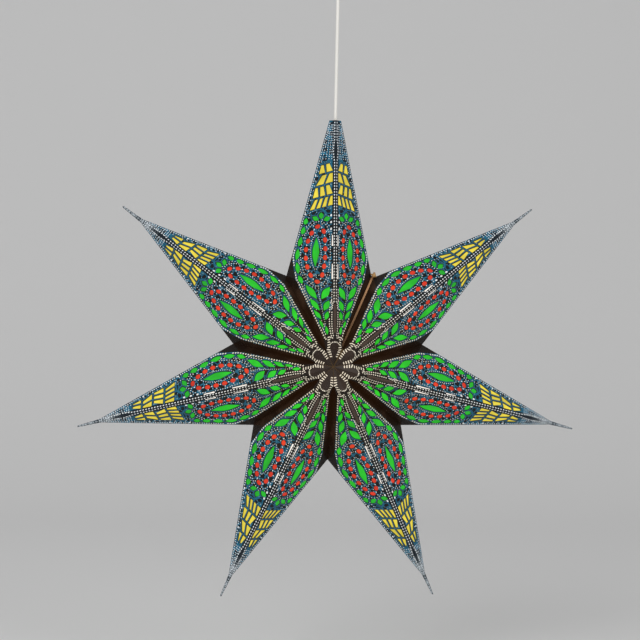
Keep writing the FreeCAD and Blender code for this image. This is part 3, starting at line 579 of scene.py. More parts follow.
@dataclass(frozen=True)
class StarPlan:
    """Driving sizes of the star, in metres, as the CAD model has them."""

    tip_radius: float = 0.300
    cut_back: float = 0.0172
    cut_height: float = 0.0092
    crest_radius: float = 0.030
    crest_height: float = 0.090
    hub_gap: float = 0.0008
    hub_height: float = 0.077
    notch_radius: float = 0.113
    needle_length: float = 0.028
    needle_root_height: float = 0.0031
    border_inner: float = 0.0315
    border_short: float = 0.0156
    border_run: float = 0.010
    border_bow: float = 0.8
    border_margin: float = 0.0070
    border_near: float = 0.0042
    tongue_half: float = 0.0089
    board: float = 0.0011
    paper: float = 0.0004
    leans: tuple[float, ...] = (-0.6, -0.6, -1.2, -0.1, 2.15, 2.3, 2.3)
    globe_below_centre: float = 0.024

    def arms(self) -> range:
        """Numbers of the arms, clockwise from the one that points up."""
        return range(1, len(self.leans) + 1)

    def angle(self, arm: int) -> float:
        """Direction of an arm, in radians from +X towards +Z."""
        return math.radians(90.0 - (arm - 1) * 360.0 / len(self.leans) + self.leans[arm - 1])

    def half_angle(self, arm: int, side: Side) -> float:
        """Half the angle between an arm and its neighbour on one side."""
        neighbour = (arm - 1 - side.value) % len(self.leans) + 1
        return (side.value * (self.angle(neighbour) - self.angle(arm)) % FULL_TURN) / 2

    def centre(self) -> Vector:
        """Where the star's centre stands.

        Returns:
            The place, beside the cord's line and above the foot of the bulb.
        """
        reach = self.tip_radius - self.cut_back
        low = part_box("bulb")[0]
        return Vector((-reach * math.cos(self.angle(1)), 0.0, low.z + self.globe_below_centre))

    def place(self, arm: int) -> Matrix:
        """Where an arm stands.

        Args:
            arm: its number.

        Returns:
            From the arm's own frame, X along it and Z to the front, to the row frame.
        """
        angle = self.angle(arm)
        turn = Matrix(((math.cos(angle), -math.sin(angle), 0.0), (0.0, 0.0, -1.0),
                       (math.sin(angle), math.cos(angle), 0.0)))
        return Matrix.Translation(self.centre()) @ turn.to_4x4()


class HalfPanel:
    """One printed half of an arm: where its edges run and how its sheet lies."""

    def __init__(self, plan: StarPlan, arm: int, side: Side) -> None:
        """Work out the slopes of the panel.

        Args:
            plan: the star's sizes.
            arm: the number of the arm.
            side: which half of the arm it is.
        """
        self.plan = plan
        self.side = side
        self.cut = arm == 1
        seam = (arm, side) in ((1, Side.RIGHT), (2, Side.LEFT))
        self.off = plan.board if seam else 0.0
        self.end = plan.tip_radius - (plan.cut_back if self.cut else plan.needle_length)
        end_height = plan.cut_height if self.cut else plan.needle_root_height
        self.fall = (plan.crest_height - end_height) / (self.end - plan.crest_radius)
        wall = plan.half_angle(arm, side)
        self.cosine, self.sine = math.cos(wall), math.sin(wall)
        notch_x = plan.notch_radius * self.cosine + self.off * self.sine
        notch_y = plan.notch_radius * self.sine - self.off * self.cosine
        self.slope = self.ridge(notch_x) / notch_y
        self.bend = plan.notch_radius - plan.border_short
        self.start = plan.notch_radius + plan.border_run

    def ridge(self, along: float) -> float:
        """Height of the ridge above the middle plane."""
        return self.plan.crest_height - self.fall * (along - self.plan.crest_radius)

    def border(self, along: float) -> float:
        """Where the printed border runs beside the glued wall.

        Args:
            along: distance along the arm.

        Returns:
            The border's distance from the ridge.
        """
        plan = self.plan
        share = (self.bend - along) / (self.bend - plan.border_inner)
        margin = plan.border_margin + (plan.border_near - plan.border_margin) * share
        return (self.sine * along - self.off - margin) / self.cosine

    def between(self, share: float) -> float:
        """Half width between the border's bend and its end beyond the notch."""
        first, last = self.border(self.bend), self.ridge(self.start) / self.slope
        return first + (last - first) * share

    def edge(self, along: float) -> float:
        """Half width of the printed panel seen from the front.

        Args:
            along: distance along the arm.

        Returns:
            The half width.
        """
        if along >= self.start:
            return self.ridge(along) / self.slope
        if along <= self.bend:
            return max(self.border(along), self.plan.tongue_half)
        share = (along - self.bend) / (self.start - self.bend)
        return self.between(share ** self.plan.border_bow)

    def flap_line(self, along: float) -> float:
        """Where the print ends beside the notch; beyond it the card is bare."""
        return self.between((along - self.bend) / (self.start - self.bend))

    def tongue_corner(self) -> Vector:
        """Find the corner of the panel, the tongue and the glued wall.

        Returns:
            The corner, in the arm's frame.
        """
        across = self.plan.tongue_half
        radius = (across + self.off * self.cosine) / self.sine
        along = radius * self.cosine + self.off * self.sine
        return Vector((along, across, self.ridge(along) - self.slope * across))

    def lie(self, along: float, across: float) -> Matrix:
        """How a printed mark lies on the facet under a place in the front view.

        Args:
            along: distance along the arm.
            across: distance from the ridge.

        Returns:
            The place, its X along the arm and its Z out of the paper.
        """
        plan, corner = self.plan, self.tongue_corner()
        crest = Vector((plan.crest_radius, 0.0, plan.crest_height))
        limit = crest.x - (crest.x - corner.x) * across / corner.y
        first, second, out = self.axes()
        if along < limit:
            hub = Vector((plan.hub_gap, 0.0, plan.hub_height))
            first = (crest - hub).normalized()
            out = first.cross(corner - hub).normalized()
            second = out.cross(first)
        height = crest.z - (out.x * (along - crest.x) + out.y * across) / out.z
        turn = Matrix((first, second, out)).transposed().to_4x4()
        return Matrix.Translation((along, across, height)) @ turn

    def depth(self, place: Vector) -> float:
        """How far a place in the arm's frame lies under the panel's outer face."""
        above = place.z - self.ridge(place.x) + self.slope * place.y
        return -above / math.sqrt(self.fall ** 2 + self.slope ** 2 + 1.0)

    def axes(self) -> tuple[Vector, Vector, Vector]:
        """The directions of the flat sheet.

        Returns:
            Unit vectors in the arm's frame: along, across and out.
        """
        out = Vector((self.fall, self.slope, 1.0)).normalized()
        along = Vector((1.0, 0.0, -self.fall)).normalized()
        return along, out.cross(along), out


# ---------------------------------------------------------------- print on the arms


def spaced(low: float, high: float, steps: int) -> list[float]:
    """Evenly spaced values from low to high, both ends included."""
    return [low + (high - low) * step / steps for step in range(steps + 1)]


def bearing(start: Point, end: Point) -> float:
    """Direction from one place to another, in radians."""
    return math.atan2(end[1] - start[1], end[0] - start[0])


def sides(line: Sequence, closed: bool = True) -> list[tuple]:
    """The sides of a line, each by its two ends."""
    return list(zip(line, [*line[1:], line[0]] if closed else line[1:]))


def corners(line: Line) -> list[tuple[Point, Point, Point]]:
    """Each corner of a closed line, between the one before it and the one after it."""
    return list(zip([line[-1], *line[:-1]], line, [*line[1:], line[0]]))


def walk(line: Line, pitch: float, closed: bool = False) -> list[tuple[Point, float]]:
    """Places evenly spaced along a line.

    Args:
        line: the corners of the line.
        pitch: the wanted distance between two places.
        closed: whether the line returns to its start.

    Returns:
        Each place with its heading in radians.
    """
    steps = [(a, b, math.dist(a, b)) for a, b in sides(line, closed)]
    total = sum(length for _, _, length in steps)
    count = max(1, round(total / pitch))
    places = []
    for index in range(count):
        want = total * (index + 0.5) / count
        for a, b, length in steps:
            if want <= length:
                share = want / length
                spot = (a[0] + (b[0] - a[0]) * share, a[1] + (b[1] - a[1]) * share)
                places.append((spot, bearing(a, b)))
                break
            want -= length
    return places


def offset_line(line: Line, margin: float) -> list[Point]:
    """A closed line moved sideways by a margin, towards its left."""
    return [(x - math.sin(turn) * margin, y + math.cos(turn) * margin)
            for before, (x, y), after in corners(line) for turn in [bearing(before, after)]]


def gap_to(rim: Line, spot: Point) -> float:
    """How far a spot lies outside a closed line.

    Args:
        rim: the corners of the line.
        spot: the spot.

    Returns:
        The distance, nought or less inside the line.
    """
    inside, nearest = False, math.inf
    x, y = spot
    for (ax, ay), (bx, by) in sides(rim):
        if (ay > y) != (by > y) and x < (bx - ax) * (y - ay) / (by - ay) + ax:
            inside = not inside
        run = (bx - ax) ** 2 + (by - ay) ** 2
        share = ((x - ax) * (bx - ax) + (y - ay) * (by - ay)) / run if run else 0.0
        share = min(1.0, max(0.0, share))
        nearest = min(nearest, math.hypot(ax + (bx - ax) * share - x,
                                          ay + (by - ay) * share - y))
    return -nearest if inside else nearest


def thin_line(line: Line, turn: float = 0.24) -> list[Point]:
    """Leave out the corners that a closed line's bends don't need.

    Args:
        line: its corners.
        turn: the bend, in radians, that needs a corner.

    Returns:
        The kept corners, anticlockwise.
    """
    area = sum(a[0] * b[1] - b[0] * a[1] for a, b in sides(line))
    points = list(line) if area > 0 else list(reversed(line))
    kept, bend = [], 0.0
    for before, here, after in corners(points):
        bend += abs(math.remainder(bearing(here, after) - bearing(before, here), FULL_TURN))
        if bend >= turn:
            kept.append(here)
            bend = 0.0
    return kept if len(kept) > 3 else points


def pushes(line: Line, longest: float = 1.7) -> list[Point]:
    """Which way each corner of a closed line moves to grow it by one unit.

    Args:
        line: its corners, anticlockwise.
        longest: the longest move, at a sharp corner.

    Returns:
        The moves.
    """
    moves = []
    for before, here, after in corners(line):
        first = bearing(before, here)
        bend = math.remainder(bearing(here, after) - first, FULL_TURN)
        grow = 1.0 / max(1.0 / longest, math.cos(bend / 2))
        mean = first + bend / 2
        moves.append((math.sin(mean) * grow, -math.cos(mean) * grow))
    return moves


@dataclass(frozen=True)
class Mark:
    """One printed shape: its place on the half panel, size, heading and corners."""

    along: float
    across: float
    length: float
    width: float
    heading: float = 0.0
    corners: int = 8


@dataclass(frozen=True)
class Row:
    """A row of dots that follows the border from one station to another.

    It starts its lead beyond the first and stops its gap short of the second, which is the
    end of the arm where the row has no stop. The gain is how much its share of the half
    width grows on the way.
    """

    pitch: float
    radius: float
    start: float = -1.0
    stop: float | None = None
    lead: float = 0.0
    gap: float = 0.0
    share: float = 1.0
    inset: float = 0.0
    gain: float = 0.0
    steps: int = 48


@dataclass(frozen=True)
class PatternPlan:
    """Where the print runs, in stations: -1 border end, 0 notch, 1 point of the arm."""

    ring: Point = (-0.2153, 0.2487)
    ring_axis: Point = (0.459, 0.451)
    ring_share: float = 0.229
    ring_bow: float = 0.0031
    ring_pinch: float = 0.12
    ring_rows: tuple[tuple[float, ...], ...] = (
        (0.0053, 0.0029, 0.00066), (0.0076, 0.0034, 0.00058))
    ring_clear: Point = (0.0040, 0.0030)
    beads: int = 14
    bead_rows: tuple[Point, ...] = ((0.0, 0.00085), (0.0031, 0.00072), (-0.0031, 0.00066))
    leaf: Point = (-0.0208, 0.1791)
    leaf_width: float = 0.0076
    leaf_shift: float = 0.0004
    leaf_stretch: float = 1.3
    leaf_fullness: float = 0.35
    leaf_row: tuple[float, ...] = (0.0018, 0.0025, 0.00060)
    ridge_dots: tuple[float, ...] = (0.232, 0.274, 0.316)
    ridge_dot: Point = (0.0047, 0.0015)
    border_dots: tuple[float, ...] = (-0.33, 0.32, 0.44, 0.56)
    border_dot: Point = (0.0018, 0.00125)
    border_rows: tuple[Row, ...] = (
        Row(0.0029, 0.00108, stop=0.10, inset=0.0014),
        Row(0.0027, 0.00080, 0.115, gap=0.002, inset=0.0013),
        Row(0.0028, 0.00080, stop=-0.25, lead=0.004, inset=0.0041),
        Row(0.0058, 0.00062, 0.30, gap=0.012, inset=0.0036))
    column: float = 0.0013
    column_start: float = -0.50
    column_gap: float = 0.001
    column_bulge: Point = (0.645, 0.79)
    column_steps: int = 40
    square: Point = (0.00088, 0.00076)
    square_pitch: float = 0.0034
    foot: tuple[Point, ...] = ((-0.60, 0.0037), (-0.30, 0.0035))
    foot_row: Point = (0.0028, 0.00075)
    almond: Point = (0.0375, 0.0730)
    almond_rise: float = 0.0006
    almond_rows: tuple[Point, ...] = ((0.0029, 0.00088), (0.0054, 0.00092))
    almond_pitch: float = 0.0026
    almond_fullness: float = 0.8
    almond_steps: int = 24
    ladder: tuple[float, ...] = (0.0350, 0.0195)
    ladder_inset: float = 0.0024
    ladder_foot: Point = (0.0105, 0.0029)
    ladder_pitch: float = 0.0027
    rung: float = 0.00062
    rung_reach: tuple[float, ...] = (0.0006, 0.24, 0.0020)
    arches: tuple[tuple[float, ...], ...] = (
        (0.0288, 0.0052, 0.0018, 0.00082), (0.0340, 0.0100, 0.0026, 0.00100))
    arch_sag: float = 0.0040
    arch_steps: int = 8
    hub_dot: tuple[float, ...] = (0.0385, 0.0072, 0.0014)
    inner_rows: tuple[Row, ...] = (
        Row(0.0027, 0.00078, -1.0, -1.0, 0.0057, -0.0177, share=0.60, steps=5),
        Row(0.0027, 0.00070, -1.0, -1.0, 0.0057, -0.0177, share=0.76, steps=5),
        Row(0.0027, 0.00058, 0.66, gap=0.004, share=0.25, steps=8),
        Row(0.0026, 0.00068, 0.66, gap=0.004, share=0.40, steps=8),
        Row(0.0027, 0.00064, 0.66, gap=0.004, share=0.58, steps=8),
        Row(0.0026, 0.00070, 0.66, gap=0.004, share=0.76, steps=8))
    tip_dots: tuple[float, ...] = (0.70, 0.77, 0.84, 0.91)
    tip_dot: tuple[float, ...] = (0.60, 0.00125, 0.004)
    field_rows: tuple[Row, ...] = (
        Row(0.0033, 0.00055, -1.0, 0.0, 0.0185, -0.0635, inset=0.0068, steps=11),
        Row(0.0024, 0.00052, -0.95, -0.95, gap=-0.068, share=0.54, gain=-0.08, steps=8))
    spacing: float = 0.8
    clearance: float = 0.9
    cell: float = 0.004


def dot(along: float, across: float, radius: float) -> Mark:
    """A round mark."""
    return Mark(along, across, radius, radius)


class Print:
    """The marks of one half panel."""

    def __init__(self, half: HalfPanel, pattern: PatternPlan) -> None:
        """Keep the panel and the pattern's sizes.

        Args:
            half: the panel that gets the marks.
            pattern: their sizes and places.
        """
        self.half = half
        self.plan = half.plan
        self.pattern = pattern

    def station(self, share: float) -> float:
        """Turn a station into a place.

        Args:
            share: the station.

        Returns:
            The distance along the arm.
        """
        notch = self.plan.notch_radius
        reach = notch - self.plan.border_inner if share < 0 else self.plan.tip_radius - notch
        return notch + share * reach

    def ring_ends(self) -> list[Point]:
        """The two ends of the ring's axis."""
        return [(along, share * self.half.edge(along)) for along, share in zip(
            map(self.station, self.pattern.ring), self.pattern.ring_axis)]

    def ring_line(self, steps: int = 56) -> list[Point]:
        """The line of the beads.

        Args:
            steps: its number of corners.

        Returns:
            Its corners.
        """
        pattern = self.pattern
        (bottom, low), (top, high) = self.ring_ends()
        middle, reach = (bottom + top) / 2, (top - bottom) / 2
        lean = (high - low) / (top - bottom)
        half_width = pattern.ring_share * self.half.edge(middle)
        points = []
        for turn in spaced(0.0, FULL_TURN, steps)[:-1]:
            along = middle - reach * math.cos(turn)
            axis = low + lean * (along - bottom) + pattern.ring_bow * math.sin(turn) ** 2
            width = half_width * (1 - pattern.ring_pinch * math.cos(turn) ** 2)
            points.append((along, axis + width * math.sin(turn)))
        return points

    def leaf_line(self, margin: float, steps: int = 40) -> list[Point]:
        """A line round the leaf in the ring.

        Args:
            margin: how far outside the leaf it runs.
            steps: its number of corners.

        Returns:
            Its corners.
        """
        pattern = self.pattern
        (_, low), (_, high) = self.ring_ends()
        axis = (low + high) / 2 + pattern.ring_bow - pattern.leaf_shift
        bottom, top = map(self.station, pattern.leaf)
        reach = (top - bottom) / 2 + margin * pattern.leaf_stretch
        wide = pattern.leaf_width / 2 + margin
        return [((bottom + top) / 2 - reach * math.cos(turn),
                 axis + wide * math.sin(turn) * abs(math.sin(turn)) ** pattern.leaf_fullness)
                for turn in spaced(0.0, FULL_TURN, steps)[:-1]]

    def dots(self, line: Line, pitch: float, radius: float,
             closed: bool = False) -> Iterator[Mark]:
        """Round dots evenly spaced along a line."""
        for spot, _ in walk(line, pitch, closed):
            yield dot(*spot, radius)

    def follow(self, rows: Sequence[Row]) -> Iterator[Mark]:
        """The dots of rows that follow the border.

        Args:
            rows: the rows.

        Yields:
            Their dots.
        """
        for row in rows:
            low = self.station(row.start) + row.lead
            high = (self.half.end if row.stop is None else self.station(row.stop)) - row.gap
            line = [(along, (row.share + row.gain * step / row.steps) * self.half.edge(along)
                     - row.inset) for step, along in enumerate(spaced(low, high, row.steps))]
            yield from self.dots(line, row.pitch, row.radius)

    def big_dots(self) -> Iterator[Mark]:
        """A few large dots beside the ridge and the border.

        Yields:
            The dots.
        """
        for along in map(self.station, self.pattern.ridge_dots):
            yield dot(along, *self.pattern.ridge_dot)
        inset, radius = self.pattern.border_dot
        for along in map(self.station, self.pattern.border_dots):
            yield dot(along, self.half.edge(along) - inset, radius)

    def ridge_rows(self) -> Iterator[Mark]:
        """A column of small squares beside the ridge, and dots beside its foot.

        Yields:
            The squares, then the dots.
        """
        pattern = self.pattern
        low, high = self.station(pattern.column_start), self.half.end - pattern.column_gap
        first, last = map(self.station, pattern.column_bulge)
        column = []
        for along in spaced(low, high, pattern.column_steps):
            share = min(1.0, max(0.0, (along - first) / (last - first)))
            column.append((along, pattern.column * (1.0 + math.sin(math.pi * share))))
        for spot, heading in walk(column, pattern.square_pitch):
            yield Mark(*spot, *pattern.square, heading, 4)
        foot = [(self.station(share), across) for share, across in pattern.foot]
        yield from self.dots(foot, *pattern.foot_row)

    def ring_marks(self) -> Iterator[Mark]:
        """Dots between the beads, outside and inside their ring, and round its leaf.

        Yields:
            The dots.
        """
        line, (margin, *leaf_row) = self.ring_line(), self.pattern.leaf_row
        pitch = sum(math.dist(a, b) for a, b in sides(line)) / self.pattern.beads
        for shift, radius in self.pattern.bead_rows:
            yield from self.dots(offset_line(line, shift), pitch, radius, closed=True)
        yield from self.dots(self.leaf_line(margin), *leaf_row, closed=True)

    def hub_marks(self) -> Iterator[Mark]:
        """Rows of dots round an almond on the ridge, and a ladder beside the tongue.

        Yields:
            The dots and the rungs.
        """
        pattern = self.pattern
        low, high = pattern.almond
        middle, reach = (low + high) / 2, (high - low) / 2
        for wide, radius in pattern.almond_rows:
            loop = [(middle - (reach + wide) * math.cos(turn),
                     wide * math.sin(turn) ** pattern.almond_fullness + pattern.almond_rise)
                    for turn in spaced(0.0, math.pi, pattern.almond_steps)[1:-1]]
            yield from self.dots(loop, pattern.almond_pitch, radius)
        side = self.plan.tongue_half - pattern.ladder_inset
        ladder = [*((along, side) for along in pattern.ladder), pattern.ladder_foot]
        shortest, growth, longest = pattern.rung_reach
        for spot, heading in walk(ladder, pattern.ladder_pitch):
            width = min(longest, shortest + spot[1] * growth)
            yield Mark(*spot, pattern.rung, width, heading, 4)
        for top, wide, pitch, radius in pattern.arches:
            arch = [(top - pattern.arch_sag * (1.0 - math.cos(turn)), wide * math.sin(turn))
                    for turn in spaced(0.0, math.pi / 2, pattern.arch_steps)]
            yield from self.dots(arch, pitch, radius)
        yield dot(*pattern.hub_dot)

    def tip_dots(self) -> Iterator[Mark]:
        """Large dots that stop short of the point of the arm.

        Yields:
            The dots.
        """
        share, radius, gap = self.pattern.tip_dot
        for along in map(self.station, self.pattern.tip_dots):
            if along < self.half.end - gap:
                yield dot(along, share * self.half.edge(along), radius)

    def ring_rows(self) -> Iterator[Mark]:
        """Rows round the ring, clear of the ridge and the border.

        Yields:
            Their dots.
        """
        line, (ridge_gap, border_gap) = self.ring_line(), self.pattern.ring_clear
        for reach, pitch, radius in self.pattern.ring_rows:
            for mark in self.dots(offset_line(line, reach), pitch, radius, closed=True):
                if ridge_gap < mark.across < self.half.edge(mark.along) - border_gap:
                    yield mark

    def marks(self) -> Iterator[Mark]:
        """Every mark, in the order in which they take their place.

        Returns:
            The marks.
        """
        pattern = self.pattern
        return chain(self.big_dots(), self.follow(pattern.border_rows), self.ridge_rows(),
                     self.ring_marks(), self.hub_marks(), self.follow(pattern.inner_rows),
                     self.tip_dots(), self.ring_rows(), self.follow(pattern.field_rows))

    def clear_marks(self, rims: Sequence[Line]) -> list[Mark]:
        """The marks that lie on paper and not on a window or an earlier mark.

        Args:
            rims: the outline of each window.

        Returns:
            The marks to lay.
        """
        pattern = self.pattern
        boxes = [(min(x for x, _ in rim), max(x for x, _ in rim), rim) for rim in rims]
        kept: list[Mark] = []
        taken: dict[tuple[int, int], list[Mark]] = {}
        for mark in self.marks():
            room, spot = max(mark.length, mark.width), (mark.along, mark.across)
            cell = (int(mark.along / pattern.cell), int(mark.across / pattern.cell))
            close = [other for x in (-1, 0, 1) for y in (-1, 0, 1)
                     for other in taken.get((cell[0] + x, cell[1] + y), ())]
            touching = any(
                math.hypot(mark.along - other.along, mark.across - other.across)
                < pattern.spacing * (min(mark.length, mark.width)
                                     + min(other.length, other.width)) for other in close)
            if touching or any(
                    gap_to(rim, spot) < room * pattern.clearance
                    for low, high, rim in boxes if low - room < mark.along < high + room):
                continue
            kept.append(mark)
            taken.setdefault(cell, []).append(mark)
        return kept


def mesh_of(name: str, bm: bmesh.types.BMesh) -> Mesh:
    """Turn a bmesh into a mesh, and free the bmesh.

    Args:
        name: the mesh's name.
        bm: the bmesh.

    Returns:
        The mesh.
    """
    mesh = bpy.data.meshes.new(name)
    bm.to_mesh(mesh)
    bm.free()
    return mesh


def add_object(name: str, data: bpy.types.ID) -> Piece:
    """Add an object to the scene, at the origin.

    Args:
        name: its name.
        data: its mesh, curve, light or camera.

    Returns:
        The object.
    """
    piece = bpy.data.objects.new(name, data)
    bpy.context.scene.collection.objects.link(piece)
    return piece


def mesh_object(name: str, bm: bmesh.types.BMesh, *finishes: Material) -> Piece:
    """Make a piece from a bmesh, and free the bmesh.

    Args:
        name: the name of the piece.
        bm: the bmesh.
        finishes: its finishes, in the order of its faces' numbers.

    Returns:
        The piece.
    """
    piece = add_object(name, mesh_of(name, bm))
    for finish in finishes:
        piece.data.materials.append(finish)
    return piece


def made_verts(made: dict[str, list]) -> list[bmesh.types.BMVert]:
    """The vertices that an extrusion made."""
    return [item for item in made["geom"] if isinstance(item, bmesh.types.BMVert)]


@dataclass
class PaperArm:
    """A folded arm: its paper with print, bare valleys and inside, and the ink on it."""

    plan: StarPlan
    pattern: PatternPlan
    number: int
    ink_depth: float = 0.00012
    ink_rise: float = 0.00004
    ink_taper: float = 0.9
    batch: int = 50
    trim_width: float = 0.0019
    trim_rise: float = 0.00005
    trim_root: float = 0.00005
    bead_round: float = 0.0195
    bead_trim: float = 0.3
    tongue_lean: float = 0.72
    needle_rise: float = 0.2
    front_rise: float = 0.5
    sheet_scale: float = 100.0
    skin: float = 0.00003
    longest: float = 0.045

    def __post_init__(self) -> None:
        """Work out the two halves."""
        self.halves = {side: HalfPanel(self.plan, self.number, side) for side in Side}
        self.rims: dict[Side, list[Line]] = {side: [] for side in Side}

    def paper(self, finishes: Sequence[Material]) -> Piece:
        """Copy the folded sheet and give each face its finish and its place in the print.

        Args:
            finishes: the printed, bare, tongue and inside finishes; the bare one is darkened as
                painted shade in the valleys.

        Returns:
            The sheet.
        """
        bm = bmesh.new()
        bm.from_mesh(frame["nodes"][f"arm_{self.number}"].data)
        bmesh.ops.remove_doubles(bm, verts=bm.verts[:], dist=WELD)
        bm.faces.index_update()
        bm.verts.index_update()
        sheet_map = bm.loops.layers.uv.new("sheet")
        flap = bm.loops.layers.float.new("flap")
        pinch = bm.loops.layers.float.new("pinch")
        to_arm = self.plan.place(self.number).inverted()
        turn = to_arm.to_3x3()
        cuts: set[int] = set()
        for face in bm.faces:
            centre = to_arm @ face.calc_center_median()
            side = Side.LEFT if centre.y >= 0 else Side.RIGHT
            half = self.halves[side]
            front = Matrix.Diagonal((1.0, side.value, 1.0 if centre.z >= 0 else -1.0))
            depths = [half.depth(front @ (to_arm @ vert.co)) for vert in face.verts]
            area = self.area(half, front @ centre, front @ (turn @ face.normal), depths)
            face.material_index = area.value
            if area is Area.BARE and -self.skin < min(depths) and (
                    max(depths) < self.plan.paper + self.skin):
                cuts.add(face.index)
            for loop in face.loops:
                at = to_arm @ loop.vert.co
                across = at.y * side.value
                loop[sheet_map].uv = (at.x * self.sheet_scale, across * self.sheet_scale)
                loop[flap] = across - half.flap_line(at.x)
                loop[pinch] = -1.0 if half.cut else at.x - half.end
        self.find_rims(bm, to_arm, cuts)
        sheet = mesh_object(f"paper_{self.number}", bm, *finishes)
        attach(sheet, ROOT)
        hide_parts(f"arm_{self.number}")
        return sheet

    def area(self, half: HalfPanel, centre: Vector, normal: Vector,
             depths: Sequence[float]) -> Area:
        """Which part of the sheet a face belongs to.

        Args:
            half: the half panel it belongs to.
            centre: the face's middle, mirrored onto the left front quarter.
            normal: its normal, mirrored too.
            depths: how far its corners lie under the panel's outer face.

        Returns:
            The part.
        """
        needle = centre.x > half.end and normal.z > self.needle_rise
        if needle or max(map(abs, depths)) < self.skin:
            return Area.PRINTED
        if max(abs(depth - self.plan.paper) for depth in depths) < self.skin:
            return Area.INSIDE
        tongue = centre.x < self.plan.crest_radius and centre.y < self.tongue_lean * centre.x
        return Area.TONGUE if tongue and normal.z > self.front_rise else Area.BARE

    def find_rims(self, bm: bmesh.types.BMesh, to_arm: Matrix, cuts: set[int]) -> None:
        """Keep the outline of every window on the front of both halves.

        Args:
            bm: the sheet, its faces sorted into areas.
            to_arm: from the row frame to the arm's own.
            cuts: faces that lie within the paper's thickness.
        """
        next_to: dict[int, list[bmesh.types.BMVert]] = {}
        for edge in bm.edges:
            printed = [face for face in edge.link_faces
                       if face.material_index == Area.PRINTED.value]
            cut = [face for face in edge.link_faces if face.index in cuts]
            if len(printed) != 1 or len(cut) != 1 or (to_arm @ edge.verts[0].co).z < 0:
                continue
            for here, there in (edge.verts, reversed(edge.verts)):
                next_to.setdefault(here.index, []).append(there)
        bm.verts.ensure_lookup_table()
        seen: set[int] = set()
        for start in next_to:
            rim, here = [], bm.verts[start]
            while here.index not in seen:
                seen.add(here.index)
                rim.append(here)
                here = next((vert for vert in next_to[here.index] if vert.index not in seen),
                            here)
            if len(rim) < 4 or rim[0] not in next_to[rim[-1].index]:
                continue
            points = [to_arm @ vert.co for vert in rim]
            if max(p.x for p in points) - min(p.x for p in points) < self.longest:
                side = Side.LEFT if points[0].y > 0 else Side.RIGHT
                self.rims[side].append([(p.x, p.y * side.value) for p in points])

    def lay(self, name: str, quarters: Sequence[tuple[Side, Mesh]], finish: Material) -> Piece:
        """Lay meshes of the left front quarter on the front and the back of the arm.

        Args:
            name: the name of the piece.
            quarters: each mesh with the half of the arm it lies on.
            finish: their finish.

        Returns:
            The piece.
        """
        bm = bmesh.new()
        place = self.plan.place(self.number)
        for side, quarter in quarters:
            for face in Face:
                laid = quarter.copy()
                laid.transform(place @ Matrix.Diagonal((1.0, side.value, face.value, 1.0)))
                bm.from_mesh(laid)
                bpy.data.meshes.remove(laid)
            bpy.data.meshes.remove(quarter)
        bmesh.ops.recalc_face_normals(bm, faces=bm.faces[:])
        piece = mesh_object(name, bm, finish)
        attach(piece, ROOT)
        return piece

    def trim(self, finish: Material) -> Piece:
        """Lay a printed outline round every window: dark at its edge, then a ribbon.

        Args:
            finish: the outlines' finish.

        Returns:
            The outlines.
        """
        return self.lay(f"outlines_{self.number}", [
            (side, self.quarter_trim(half, self.rims[side]))
            for side, half in self.halves.items()], finish)

    def quarter_trim(self, half: HalfPanel, rims: Sequence[Line]) -> Mesh:
        """The outlines of the windows on one quarter of the arm.

        Args:
            half: the half panel.
            rims: the outline of each window in the front view.

        Returns:
            Their mesh: low wedges, highest at the window's edge.
        """
        bm = bmesh.new()
        away = bm.verts.layers.float_vector.new("away")
        band = bm.verts.layers.float.new("band")
        reach = bm.verts.layers.float.new("reach")
        out = half.axes()[2]
        for rim in map(thin_line, rims):
            bead = sum(math.dist(a, b) for a, b in sides(rim)) < self.bead_round
            verts = []
            for spot, push in zip(rim, pushes(rim)):
                here = half.lie(*spot).translation
                vert = bm.verts.new(here + out * self.trim_rise)
                vert[away] = half.lie(spot[0] + push[0], spot[1] + push[1]).translation - here
                vert[reach] = self.bead_trim if bead else 1.0
                verts.append(vert)
            for pair in sides(verts):
                bm.edges.new(pair)
        ring = bm.edges[:]
        for shift, sink, value in ((1.0, -self.trim_rise, 1.0), (-1.0, -self.trim_root, 0.0),
                                   (0.0, self.trim_rise + self.trim_root, 0.0)):
            made = bmesh.ops.extrude_edge_only(bm, edges=ring)
            ring = [item for item in made["geom"] if isinstance(item, bmesh.types.BMEdge)]
            for vert in made_verts(made):
                vert.co += vert[away] * vert[reach] * self.trim_width * shift + out * sink
                vert[band] = vert[reach] * value
        bmesh.ops.remove_doubles(bm, verts=bm.verts[:], dist=10 * WELD)
        return mesh_of("quarter", bm)

    def ink(self, finish: Material) -> Piece:
        """Lay the printed marks on the front and the back of both halves.

        Args:
            finish: the ink's finish.

        Returns:
            The marks, as one piece.
        """
        stamps = []
        for side, half in self.halves.items():
            marks = Print(half, self.pattern).clear_marks(self.rims[side])
            stamps += [(side, self.stamp(half, marks[first:first + self.batch]))
                       for first in range(0, len(marks), self.batch)]
        return self.lay(f"ink_{self.number}", stamps, finish)

    def stamp(self, half: HalfPanel, marks: Sequence[Mark]) -> Mesh:
        """Make a few marks on the left front quarter of the arm.

        Args:
            half: the half panel they lie on.
            marks: the marks.

        Returns:
            Their mesh, in the arm's own frame.
        """
        bm = bmesh.new()
        rise = Matrix.Translation((0.0, 0.0, self.ink_rise))
        for mark in marks:
            size = Matrix.Diagonal((mark.length, mark.width, 1.0, 1.0))
            if mark.corners == 4:
                size @= Matrix.Rotation(math.pi / 4, 4, "Z") @ Matrix.Diagonal(
                    (math.sqrt(2), math.sqrt(2), 1.0, 1.0))
            spot = half.lie(mark.along, mark.across) @ rise
            bmesh.ops.create_cone(
                bm, cap_ends=True, segments=mark.corners, radius1=1.0, radius2=self.ink_taper,
                depth=self.ink_depth, matrix=spot @ Matrix.Rotation(mark.heading, 4, "Z") @ size)
        return mesh_of("stamp", bm)


# ---------------------------------------------------------------- stage


